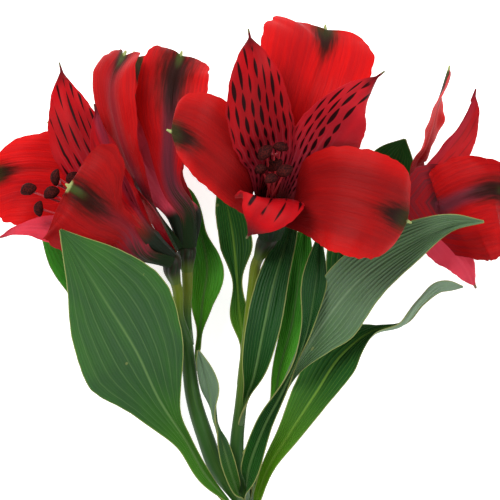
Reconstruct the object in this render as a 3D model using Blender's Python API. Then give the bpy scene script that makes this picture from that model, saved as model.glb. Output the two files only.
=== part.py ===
"""A cut alstroemeria stem with four open blooms and eleven leaves, lying down.

+X runs to the right of the spray, +Y along the stem towards the blooms, and +Z up from the
surface that it lies on. Lengths in the tables are in millimetres and angles in degrees.
"""

import math
from dataclasses import dataclass, field

import bmesh
import bpy
import numpy as np

MM = 0.001
BLADE_THICKNESS = 0.6
TIP_HALF_WIDTH = 0.35
TEPAL_ROWS = 9
TEPAL_COLUMNS = 4
LEAF_ROWS = 12
LEAF_COLUMNS = 4
STEM_SIDES = 8
FILAMENT_SIDES = 6
FILAMENT_RADIUS = 0.45
OVARY_RIBS = 6
SEAT_GAP = 0.35

# The middle of the spray's footprint, which becomes the origin
FOOTPRINT_CENTER = (2.1, -62.0)


# Curves and directions


def unit(vectors):
    vectors = np.asarray(vectors, float)
    return vectors / np.maximum(np.linalg.norm(vectors, axis=-1, keepdims=True), 1e-12)


def ease(x):
    x = np.clip(x, 0, 1)
    return x * x * (3 - 2 * x)


def curve_through(knots, values, at):
    """A smooth curve through values at knots, with slopes by central differences."""
    knots = np.asarray(knots, float)
    values = np.asarray(values, float)
    slopes = np.gradient(values, knots, axis=0)
    index = np.clip(np.searchsorted(knots, at, side="right") - 1, 0, len(knots) - 2)
    step = knots[index + 1] - knots[index]
    s = (at - knots[index]) / step
    if values.ndim > 1:
        step = step[:, None]
        s = s[:, None]
    return (
        (2 * s**3 - 3 * s**2 + 1) * values[index]
        + (s**3 - 2 * s**2 + s) * step * slopes[index]
        + (3 * s**2 - 2 * s**3) * values[index + 1]
        + (s**3 - s**2) * step * slopes[index + 1]
    )


def spine_knots(points):
    """Each point's share of the length along the points."""
    lengths = np.linalg.norm(np.diff(np.asarray(points, float), axis=0), axis=1)
    return np.r_[0, np.cumsum(lengths)] / lengths.sum()


def along_spine(points, at):
    """Places and directions at the shares at of a spine."""
    knots = spine_knots(points)
    near = np.clip(np.stack([at - 1e-3, at + 1e-3]), 0, 1)
    ahead = curve_through(knots, points, near[1]) - curve_through(knots, points, near[0])
    return curve_through(knots, points, at), unit(ahead)


# Blades: tepals and leaves


@dataclass
class Outline:
    """A blade's width along its length: a narrow claw, a swell, and a rounded or pointed end."""

    claw: float
    wide: float
    rise: float
    blunt: float
    close: float

    def half_width(self, t, neck, widest):
        swell = ease((t - self.claw) / (self.wide - self.claw)) ** self.rise
        past = np.clip((t - self.wide) / (1 - self.wide), 0, 1)
        end = np.clip(1 - past**self.blunt, 0, 1) ** self.close
        return np.where(t < self.wide, neck + (widest - neck) * swell, widest * end)


def outer_outline(wide=0.70, rise=1.05):
    return Outline(claw=0.02, wide=wide, rise=rise, blunt=2.3, close=0.55)


def inner_outline(wide=0.62, rise=1.0, blunt=1.6, close=1.15):
    return Outline(claw=0.04, wide=wide, rise=rise, blunt=blunt, close=close)


@dataclass
class Blade:
    """A thin blade along a spine. Each pair holds its left and its right side, seen from the face."""

    spine: list
    faces: list
    face_at: list
    left: object
    right: object
    outline: Outline = None
    width_at: list = None
    keel: tuple = (0, 0)
    cup: tuple = (8, 8)
    flare: float = 0
    lobe: tuple = (0, 0)
    neck: float = 1.3
    crowding: float = 1.25

    def half_widths(self, t, widths):
        if self.outline:
            return np.maximum(self.outline.half_width(t, self.neck, widths), TIP_HALF_WIDTH)
        at = np.linspace(0, 1, len(widths)) if self.width_at is None else self.width_at
        return np.maximum(curve_through(at, widths, t), TIP_HALF_WIDTH)

    def grid(self, rows, columns):
        """Points on the middle of the blade, from claw to tip and from left to right."""
        t = 1 - (1 - np.linspace(0, 1, rows + 1)) ** self.crowding
        middle, ahead = along_spine(self.spine, t)
        face = curve_through(self.face_at, unit(self.faces), t)
        across = unit(np.cross(ahead, face))
        normal = np.cross(across, ahead)
        out = np.linspace(0, 1, columns // 2 + 1)
        sides = []
        for side, sign, widths in ((0, -1, self.left), (1, 1, self.right)):
            half = self.half_widths(t, widths)
            flare = math.radians(self.flare) * t[:, None] * ease((out - 0.55) / 0.45)
            tilt = math.radians(self.keel[side]) + math.radians(self.cup[side]) * out - flare
            steps = half[:, None] * out[1]
            sideways = np.cumsum((np.cos(tilt)[:, 1:] + np.cos(tilt)[:, :-1]) / 2, 1) * steps
            upward = np.cumsum((np.sin(tilt)[:, 1:] + np.sin(tilt)[:, :-1]) / 2, 1) * steps
            sideways = np.pad(sideways, ((0, 0), (1, 0)))
            upward = np.pad(upward, ((0, 0), (1, 0)))
            forward = (self.lobe[side] * half * ease((t - 0.45) / 0.45))[:, None] * out**2
            sides.append(
                middle[:, None]
                + sign * sideways[..., None] * across[:, None]
                + upward[..., None] * normal[:, None]
                + forward[..., None] * ahead[:, None]
            )
        return np.concatenate([sides[0][:, :0:-1], sides[1]], axis=1)


def add_object(name, mesh, material, parent, at):
    mesh.materials.append(material)
    mesh.shade_smooth()
    mesh.set_sharp_from_angle(angle=math.radians(60))
    thing = bpy.data.objects.new(name, mesh)
    bpy.context.scene.collection.objects.link(thing)
    thing.parent = parent
    thing.location = at
    return thing


def add_blade(name, blade, rows, columns, material, parent, parent_at):
    """A grid laid onto the blade's surface, given its thickness by a Solidify modifier."""
    grid = blade.grid(rows, columns)
    base = np.asarray(blade.spine[0], float)
    bm = bmesh.new()
    bmesh.ops.create_grid(bm, x_segments=columns, y_segments=rows, size=0.5)
    for vert, point in zip(bm.verts, (grid - base).reshape(-1, 3)):
        vert.co = point * MM
    bmesh.ops.triangulate(bm, faces=bm.faces, quad_method="FIXED")
    mesh = bpy.data.meshes.new(name)
    bm.to_mesh(mesh)
    bm.free()
    thing = add_object(name, mesh, material, parent, (base - parent_at) * MM)
    solidify = thing.modifiers.new("Thickness", "SOLIDIFY")
    solidify.thickness = BLADE_THICKNESS * MM
    solidify.offset = 0
    return thing


# Tubes: stems, ovaries and stamens


def tube_mesh(name, points, radii, rows, sides, rib=0.0):
    """A closed tube along points. A rib share above zero swells every other side."""
    t = np.linspace(0, 1, rows + 1)
    middle, ahead = along_spine(np.asarray(points, float), t)
    radius = np.interp(t, np.linspace(0, 1, len(radii)), radii)
    reference = (0, 0, 1) if abs(ahead[0][2]) < 0.9 else (1, 0, 0)
    across = unit(np.cross(ahead, reference))
    normal = np.cross(across, ahead)
    bm = bmesh.new()
    rings = []
    for row in range(rows + 1):
        ring = []
        for side in range(sides):
            angle = 2 * math.pi * side / sides
            swell = 1 + rib * math.sin(math.pi * t[row]) * (1 if side % 2 == 0 else -1)
            offset = math.cos(angle) * across[row] + math.sin(angle) * normal[row]
            point = middle[row] + offset * radius[row] * swell - np.asarray(points[0], float)
            ring.append(bm.verts.new(point * MM))
        rings.append(ring)
    for first, second in zip(rings, rings[1:]):
        for side in range(sides):
            after = (side + 1) % sides
            bm.faces.new((first[side], first[after], second[after], second[side]))
    bm.faces.new(rings[0])
    bm.faces.new(rings[-1])
    bmesh.ops.recalc_face_normals(bm, faces=bm.faces)
    bmesh.ops.triangulate(bm, faces=bm.faces)
    mesh = bpy.data.meshes.new(name)
    bm.to_mesh(mesh)
    bm.free()
    return mesh


def add_tube(name, points, radii, rows, sides, material, parent, parent_at, rib=0.0):
    mesh = tube_mesh(name, points, radii, rows, sides, rib)
    at = (np.asarray(points[0], float) - parent_at) * MM
    return add_object(name, mesh, material, parent, at)


def join_on(thing, helpers):
    """Unites helpers with thing. The helpers stay as wires that a render leaves out."""
    for helper in helpers:
        helper.hide_render = True
        helper.display_type = "WIRE"
        union = thing.modifiers.new("Join " + helper.name, "BOOLEAN")
        union.operation = "UNION"
        union.solver = "EXACT"
        union.object = helper


# Materials


def plain_material(name, color, roughness):
    material = bpy.data.materials.new(name)
    material.use_nodes = True
    shader = material.node_tree.nodes["Principled BSDF"]
    shader.inputs["Base Color"].default_value = (*color, 1)
    shader.inputs["Roughness"].default_value = roughness
    shader.inputs["Metallic"].default_value = 0
    return material


def outer_tepal_material():
    return plain_material("Outer tepal red", (0.60, 0.012, 0.014), 0.42)


def inner_tepal_material():
    return plain_material("Inner tepal red", (0.48, 0.010, 0.022), 0.42)


def leaf_material():
    return plain_material("Leaf green", (0.055, 0.13, 0.035), 0.45)


def stem_material():
    return plain_material("Stem green", (0.10, 0.20, 0.035), 0.5)


def ovary_material():
    return plain_material("Ovary dark green", (0.018, 0.035, 0.012), 0.4)


def stamen_material():
    return plain_material("Stamen maroon", (0.10, 0.012, 0.012), 0.55)


# Stem: the main stem, three rays, and the two pedicels of the left ray


@dataclass
class Shoot:
    """A stretch of stem. seat names the bloom whose ovary stands on its end."""

    name: str
    points: list
    radii: list
    rows: int
    seat: str = None


MAIN_STEM = Shoot(
    "stem",
    [(-4, -69.5, 22), (-2, -77, 21), (-1, -94, 16), (0, -124.5, 9), (0, -155.5, 5), (0, -192, 3.05)],
    [2.6, 3.0, 3.0],
    18,
)
SHOOTS = [
    Shoot(
        "left_ray",
        [(-2, -75.5, 22), (-8.5, -64, 27), (-14, -46.5, 31), (-17.5, -31.5, 33), (-19, -24, 33)],
        [2.2, 1.7],
        10,
    ),
    Shoot("left_pedicel", [(-18, -28.5, 33), (-21.5, -19.5, 36), (-23.5, -12.5, 39.5)], [1.5, 1.3, 1.6], 7, "left"),
    Shoot("upright_pedicel", [(-18, -28.5, 32), (-19, -21, 31), (-19, -12, 30)], [1.5, 1.3, 1.6], 7, "upright"),
    Shoot(
        "center_ray",
        [(-2, -75.5, 22), (-2.5, -60.5, 26), (-2, -42, 28), (0, -24, 30), (2, -10.5, 32)],
        [2.2, 1.6, 1.3, 1.6],
        14,
        "center",
    ),
    Shoot(
        "right_ray",
        [(-1, -75.5, 20), (6, -57.5, 14), (18, -30.5, 13), (32, -7.5, 18), (40, 0, 22)],
        [2.2, 1.6, 1.3, 1.6],
        16,
        "right",
    ),
]


@dataclass
class Bloom:
    """A bloom's ovary runs from base to top, and its throat opens along axis. up marks 90 degrees."""

    name: str
    base: tuple
    top: tuple
    axis: tuple
    up: tuple
    anthers: list
    stigma: tuple
    tepals: list = field(default_factory=list)

    def point(self, angle, radius, along):
        """A point round the bloom's axis, with its outward direction."""
        axis = unit(self.axis)
        up = unit(np.array(self.up, float) - np.dot(self.up, axis) * axis)
        right = np.cross(up, axis)
        outward = math.cos(math.radians(angle)) * right + math.sin(math.radians(angle)) * up
        return np.array(self.top, float) + axis * along + outward * radius, outward

    def lead(self):
        return unit(np.array(self.top, float) - np.array(self.base, float))


@dataclass
class Tepal:
    """A tepal leaves the ovary at angle, rises in the throat, and follows its own points to the tip."""

    name: str
    ring: str
    angle: float
    points: list
    faces: list
    halves: tuple
    outline: Outline
    keel: tuple = (0, 0)
    cup: tuple = (8, 8)
    flare: float = 0
    lobe: tuple = (0, 0)
    throat_radius: float = 4.4
    throat_height: float = 9.0

    def blade(self, bloom):
        outside = self.ring == "outer"
        base, outward = bloom.point(self.angle, 3.1 if outside else 2.6, 0.45)
        throat, _ = bloom.point(self.angle, self.throat_radius + (0.9 if outside else 0), self.throat_height)
        axis = unit(bloom.axis)
        spine = np.array([base, throat, *self.points], float)
        throat_at = spine_knots(spine)[1]
        return Blade(
            spine=spine,
            faces=[0.15 * axis - outward, 0.35 * axis - outward, *self.faces],
            face_at=[0, *np.linspace(throat_at, 1, len(self.faces) + 1)],
            left=self.halves[0],
            right=self.halves[1],
            outline=self.outline,
            keel=self.keel,
            cup=self.cup,
            flare=self.flare,
            lobe=self.lobe,
        )


# The center bloom faces up, towards the viewer


def center_bloom():
    bloom = Bloom(
        "center",
        base=(3.9, -2.1, 35),
        top=(6, 5.4, 43),
        axis=(0.03, 0.62, 0.78),
        up=(0, 1, 0),
        anthers=[(4.5, 29, 77), (9, 30.5, 76), (6, 21, 79), (10.5, 23.5, 78), (7.5, 25.5, 70), (3.5, 24, 74)],
        stigma=(7, 27.5, 72),
    )
    bloom.tepals = [
        Tepal(
            "top_outer", "outer", 88,
            [(11, 24.5, 58), (15, 37, 61), (19.5, 51, 60), (22, 59.5, 55), (22.5, 67, 47)],
            [(0, -0.55, 0.84), (0, -0.3, 0.95), (0, 0.1, 1), (0, 0.35, 0.95)],
            (19, 15.5), outer_outline(wide=0.74), flare=20, lobe=(0.42, 0.3),
        ),
        Tepal(
            "left_outer", "outer", 210,
            [(-0.5, 16.5, 62), (-7, 24, 71), (-16, 31.5, 73), (-24.5, 35.5, 66)],
            [(0.35, 0.1, 0.93), (0.1, 0, 1), (-0.15, 0, 1)],
            (9, 15), outer_outline(wide=0.64), cup=(12, 12), flare=25, lobe=(-0.15, 0.15),
        ),
        Tepal(
            "right_outer", "outer", 330,
            [(15.5, 15, 64), (26.5, 15.5, 75), (37.5, 12.5, 77), (47.5, 8, 68)],
            [(-0.35, 0.1, 0.93), (-0.05, 0.05, 1), (0.3, 0, 0.95)],
            (15.5, 16.5), outer_outline(), cup=(10, 10), flare=25, lobe=(0.15, 0.15),
        ),
        Tepal(
            "left_inner", "inner", 148,
            [(6, 27, 65), (3.5, 39.5, 77), (2, 51.5, 80), (-0.5, 65, 74)],
            [(0.3, -0.35, 0.9), (0.12, -0.15, 0.98), (0, 0.15, 1)],
            (9.2, 8.8), inner_outline(wide=0.66, rise=1.8), keel=(10, 10), cup=(10, 10), flare=20,
        ),
        Tepal(
            "right_inner", "inner", 32,
            [(16, 25.5, 63), (21.5, 35.5, 74), (28, 43.5, 80), (39.5, 52.5, 75)],
            [(-0.35, -0.3, 0.9), (-0.15, -0.1, 0.98), (0.2, 0, 1)],
            (7.6, 12), inner_outline(wide=0.6, rise=1.6, blunt=1.8, close=1.05), keel=(14, -6), cup=(10, -30),
        ),
        Tepal(
            "bottom_inner", "inner", 270,
            [(7, 13.5, 62), (6.5, 15, 72), (5.5, 13.5, 80), (2.5, 9, 80), (-1, 3.5, 73)],
            [(0, 0.9, 0.45), (0, 0.8, 0.6), (0.05, 0.45, 0.9), (-0.1, 0.2, 1), (-0.1, 0, 1)],
            (10, 10.5), inner_outline(wide=0.66, close=1.1), cup=(0, 0), flare=20,
        ),
    ]
    return bloom


# The left bloom opens to the left and shows the back of its front tepal


def left_bloom():
    bloom = Bloom(
        "left",
        base=(-23.9, -9, 41),
        top=(-26.3, -1.2, 46),
        axis=(-0.74, 0.55, 0.38),
        up=(0, 0.6, -1),
        anthers=[(-58, 22, 58), (-66.5, 18, 56), (-59.5, 17, 58), (-63, 12.5, 57), (-53, 21.5, 52), (-54.5, 15.5, 56)],
        stigma=(-56, 19, 52),
    )
    bloom.tepals = [
        Tepal(
            "front_outer", "outer", 255,
            [(-34, 7, 56), (-43, 12.5, 62), (-50, 17, 64), (-54.5, 19.5, 62)],
            [(-0.3, 0.1, -1), (-0.2, 0.1, -1), (-0.1, 0.2, -1), (0, 0.1, -1)],
            (20, 17.5), outer_outline(wide=0.78), cup=(2, 10), flare=20, lobe=(0.1, 0.1),
        ),
        Tepal(
            "far_outer", "outer", 140,
            [(-45, 20.5, 42), (-58.5, 24.5, 43), (-68.5, 25, 43), (-77, 23, 39)],
            [(0.1, -0.35, 1), (0.1, -0.1, 1), (-0.2, 0, 1)],
            (11, 11.5), outer_outline(), flare=20, lobe=(0.1, 0.1),
        ),
        Tepal(
            "back_outer", "outer", 44,
            [(-38, 19, 35), (-46.5, 31, 32), (-54, 37, 30), (-61, 38.5, 25)],
            [(-0.4, -0.5, 0.8), (-0.2, -0.3, 0.9), (-0.1, 0, 1)],
            (10, 7), outer_outline(),
        ),
        Tepal(
            "top_inner", "inner", 90,
            [(-40.5, 18, 48), (-48, 30, 50), (-53.5, 43, 48), (-57, 56, 42)],
            [(-0.25, -0.3, 0.92), (-0.1, -0.1, 1), (-0.1, 0.2, 1)],
            (7.5, 6.5), inner_outline(wide=0.6, blunt=1.7), keel=(8, 8),
        ),
        Tepal(
            "low_inner", "inner", 204,
            [(-43, 5.5, 50), (-56, 6, 52), (-67.5, 6.5, 50), (-75.5, 3.5, 45)],
            [(0.1, 0.8, 0.6), (0.1, 0.8, 0.6), (-0.1, 0.6, 0.8)],
            (7, 7), inner_outline(), cup=(5, 5),
        ),
        Tepal(
            "side_inner", "inner", 322,
            [(-34.5, 15.5, 48.5), (-40.5, 26.5, 54), (-44, 35.5, 55), (-46.5, 43.5, 52)],
            [(-0.6, -0.2, -0.6), (-0.6, -0.2, -0.8), (-0.5, 0, -0.9)],
            (5, 5), inner_outline(wide=0.6, blunt=1.7, close=1.1), throat_radius=3.8,
        ),
    ]
    return bloom


# The upright bloom stands between and behind those two


def upright_bloom():
    bloom = Bloom(
        "upright",
        base=(-18.9, -6.6, 30),
        top=(-19.2, 1.5, 31),
        axis=(-0.18, 0.98, -0.02),
        up=(0, 0, -1),
        anthers=[(-33, 39, 25), (-35, 41.5, 24.5), (-32, 44, 23), (-34.5, 37.5, 23), (-31.5, 40, 22.5), (-33.5, 46, 21)],
        stigma=(-33, 42.5, 22),
    )
    bloom.tepals = [
        Tepal(
            "right_outer", "outer", 300,
            [(-21.5, 18, 37), (-24.5, 36, 42), (-23.5, 49.5, 40), (-20.5, 59.5, 32)],
            [(0.1, 0, -1), (0.1, 0.1, -1), (0.1, 0.3, -1)],
            (9.5, 10.5), outer_outline(rise=1.9), cup=(10, 10), flare=15, lobe=(0.25, 0.25),
        ),
        Tepal(
            "left_outer", "outer", 200,
            [(-30, 17.5, 41), (-39.5, 34.5, 46), (-43.5, 49, 45), (-37.5, 59.5, 38)],
            [(0.7, -0.2, -0.6), (0.7, -0.2, -0.6), (0.6, 0.1, -0.7)],
            (9, 9), outer_outline(), lobe=(0.2, 0.2),
        ),
        Tepal(
            "back_outer", "outer", 75,
            [(-27, 21, 17), (-31.5, 42.5, 8), (-34, 54.5, 3), (-35.5, 62.5, 0.6)],
            [(0, 0, 1), (0, -0.1, 1), (0, -0.1, 1)],
            (12, 12), outer_outline(), lobe=(0.2, 0.2),
        ),
        Tepal(
            "left_inner", "inner", 250,
            [(-26.5, 18, 34), (-35, 33, 33), (-39.5, 43.5, 32), (-42, 53.5, 29)],
            [(0.6, 0.1, -0.8), (0.6, 0.1, -0.8), (0.5, 0.2, -0.8)],
            (6, 6), inner_outline(),
        ),
        Tepal(
            "right_inner", "inner", 5,
            [(-22, 19.5, 34), (-27, 36, 35.5), (-28, 48, 34), (-27, 58.5, 27)],
            [(-0.6, 0, 0.8), (-0.5, 0, 0.8), (-0.3, -0.1, 1)],
            (7, 6.5), inner_outline(rise=1.7), throat_radius=5.6,
        ),
        Tepal(
            "back_inner", "inner", 130,
            [(-28.5, 18, 25), (-35, 31.5, 21), (-38.5, 42.5, 17), (-40, 57, 12)],
            [(0.4, 0, 1), (0.4, 0, 1), (0.3, -0.1, 1)],
            (7, 7), inner_outline(),
        ),
    ]
    return bloom


# The right bloom turns away to the right


def right_bloom():
    bloom = Bloom(
        "right",
        base=(44.3, 4.2, 26),
        top=(47.6, 11.4, 28),
        axis=(0.72, 0.66, -0.12),
        up=(0, 0.2, 1),
        anthers=[(66, 24.5, 28), (69.5, 22.5, 26), (65.5, 20, 25), (69.5, 25.5, 25), (63, 23.5, 28), (67.5, 18.5, 29)],
        stigma=(67, 22.5, 23),
    )
    bloom.tepals = [
        Tepal(
            "top_outer", "outer", 10,
            [(50, 25.5, 30), (54.5, 37.5, 33), (57.5, 47.5, 32), (60, 55.5, 29)],
            [(0.9, -0.4, 0.1), (0.95, -0.3, 0.15), (0.9, 0, 0.3)],
            (9, 9), outer_outline(),
        ),
        Tepal(
            "front_outer", "outer", 130,
            [(57, 13, 38), (64, 16, 43), (71, 18, 44), (76, 17, 40)],
            [(0.3, 0.2, -1), (0.2, 0.1, -1), (0, 0.3, -1)],
            (20, 11.5), outer_outline(wide=0.64, rise=0.95), flare=20, lobe=(0, 0.1),
        ),
        Tepal(
            "back_outer", "outer", 240,
            [(60, 15, 12), (68, 21.5, 5), (72.5, 28, 1.4), (75.5, 34, 0.6)],
            [(-0.2, 0, 1), (-0.1, 0, 1), (0, 0, 1)],
            (12, 12), outer_outline(),
        ),
        Tepal(
            "top_inner", "inner", 70,
            [(54, 22.5, 37), (62, 32.5, 38), (66, 40.5, 37), (67.5, 48, 33)],
            [(0.4, -0.3, -0.8), (0.4, -0.2, -0.8), (0.3, 0.2, -0.9)],
            (7, 5), inner_outline(wide=0.6),
        ),
        Tepal(
            "low_inner", "inner", 190,
            [(57, 5.5, 31), (61.5, -0.5, 32), (65.5, -6, 31), (68, -11.5, 28)],
            [(0.3, 0.5, 0.8), (0.3, 0.4, 0.8), (0.3, 0.2, 0.9)],
            (6.5, 7), inner_outline(blunt=1.7, close=1.0), cup=(5, 5), throat_radius=4, throat_height=4,
        ),
        Tepal(
            "back_inner", "inner", 307,
            [(59, 18.5, 22), (66, 19.5, 18), (73.5, 18, 14)],
            [(-0.2, 0.3, 1), (-0.1, 0.2, 1), (0, 0, 1)],
            (6, 6), inner_outline(), cup=(5, 5), throat_radius=4,
        ),
    ]
    return bloom


def shoot_points(shoot, blooms):
    """A shoot's points, with the last two leading straight into its ovary."""
    points = [np.array(point, float) for point in shoot.points]
    if shoot.seat:
        bloom = blooms[shoot.seat]
        base = np.array(bloom.base, float)
        points += [base - 3.0 * bloom.lead(), base - SEAT_GAP * bloom.lead()]
    return points


def add_stem(blooms, material, parent):
    """The main stem with its rays and pedicels united into one piece."""
    still = np.zeros(3)
    stem = add_tube("stem", MAIN_STEM.points, MAIN_STEM.radii, MAIN_STEM.rows, STEM_SIDES, material, parent, still)
    helpers = [
        add_tube(
            shoot.name, shoot_points(shoot, blooms), shoot.radii, shoot.rows, STEM_SIDES, material, parent, still
        )
        for shoot in SHOOTS
    ]
    join_on(stem, helpers)


def add_ovary(bloom, material, parent):
    """The swelling under the tepals, with six ribs."""
    base = np.array(bloom.base, float)
    top = np.array(bloom.top, float)
    points = [base, (base + top) / 2, top - unit(bloom.axis), top]
    radii = [1.5, 3.6, 4.2, 3.4, 2.3]
    add_tube(f"{bloom.name}_ovary", points, radii, 6, 2 * OVARY_RIBS, material, parent, base, rib=0.06)


def add_stamens(bloom, material, parent):
    """Six filaments with their anthers, and the style, standing on one small disc."""
    base = np.array(bloom.base, float)
    top = np.array(bloom.top, float)
    axis = unit(bloom.axis)
    disc_points = [top + SEAT_GAP * axis, top + 1.6 * axis]
    name = f"{bloom.name}_stamens"
    disc = add_tube(name, disc_points, [1.9, 1.7], 1, 8, material, parent, base)
    helpers = []
    for number, tip in enumerate(bloom.anthers):
        angle = 60 * number + 30
        start, _ = bloom.point(angle, 1.15, 0.9)
        throat, _ = bloom.point(angle, 1.7, 9.0)
        tip = np.array(tip, float)
        middle = (throat + tip) / 2 + 1.5 * axis
        out = unit(tip - middle)
        filament = [start, throat, middle, tip]
        anther = [tip - 0.4 * out, tip + 1.2 * out, tip + 2.8 * out]
        where = f"{bloom.name}_filament_{number + 1}"
        radii = [FILAMENT_RADIUS, FILAMENT_RADIUS]
        helpers.append(add_tube(where, filament, radii, 6, FILAMENT_SIDES, material, parent, base))
        where = f"{bloom.name}_anther_{number + 1}"
        helpers.append(add_tube(where, anther, [0.5, 1.3, 0.45], 4, FILAMENT_SIDES, material, parent, base))
    start, _ = bloom.point(0, 0, 0.9)
    throat, _ = bloom.point(0, 0, 9.0)
    stigma = np.array(bloom.stigma, float)
    style = [start, throat, (throat + stigma) / 2, stigma]
    helpers.append(add_tube(f"{bloom.name}_style", style, [0.45, 0.5], 6, FILAMENT_SIDES, material, parent, base))
    join_on(disc, helpers)


def add_bloom(bloom, materials, root):
    """An empty on the ovary's base holds the bloom's ovary, stamens and tepals."""
    base = np.array(bloom.base, float)
    holder = bpy.data.objects.new(f"{bloom.name}_bloom", None)
    bpy.context.scene.collection.objects.link(holder)
    holder.parent = root
    holder.location = base * MM
    add_ovary(bloom, materials["ovary"], holder)
    add_stamens(bloom, materials["stamens"], holder)
    for tepal in bloom.tepals:
        name = f"{bloom.name}_tepal_{tepal.name}"
        add_blade(name, tepal.blade(bloom), TEPAL_ROWS, TEPAL_COLUMNS, materials[tepal.ring], holder, base)


# Leaves


@dataclass
class Leaf:
    """A leaf sits on a shoot at a height, on the side that angle gives: 0 right, 90 up, 180 left."""

    name: str
    shoot: str
    height: float
    angle: float
    points: list
    faces: list
    left: list
    right: list
    width_at: list = None

    def blade(self, shoots, blooms):
        shoot = shoots[self.shoot]
        t = np.linspace(0, 1, 400)
        middle, ahead = along_spine(np.array(shoot_points(shoot, blooms)), t)
        nearest = np.argmin(abs(middle[:, 1] - self.height))
        angle = math.radians(self.angle)
        outward = np.array([math.cos(angle), 0, math.sin(angle)])
        outward = unit(outward - outward.dot(ahead[nearest]) * ahead[nearest])
        radius = np.interp(t[nearest], np.linspace(0, 1, len(shoot.radii)), shoot.radii)
        foot = middle[nearest] + outward * (radius + BLADE_THICKNESS / 2 + SEAT_GAP)
        faces = [np.array([0, 0, 0.05]) - outward, *self.faces]
        return Blade(
            spine=np.array([foot, *self.points], float),
            faces=faces,
            face_at=list(np.linspace(0, 1, len(faces))),
            left=self.left,
            right=self.right,
            width_at=self.width_at,
            crowding=1.1,
        )


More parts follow.
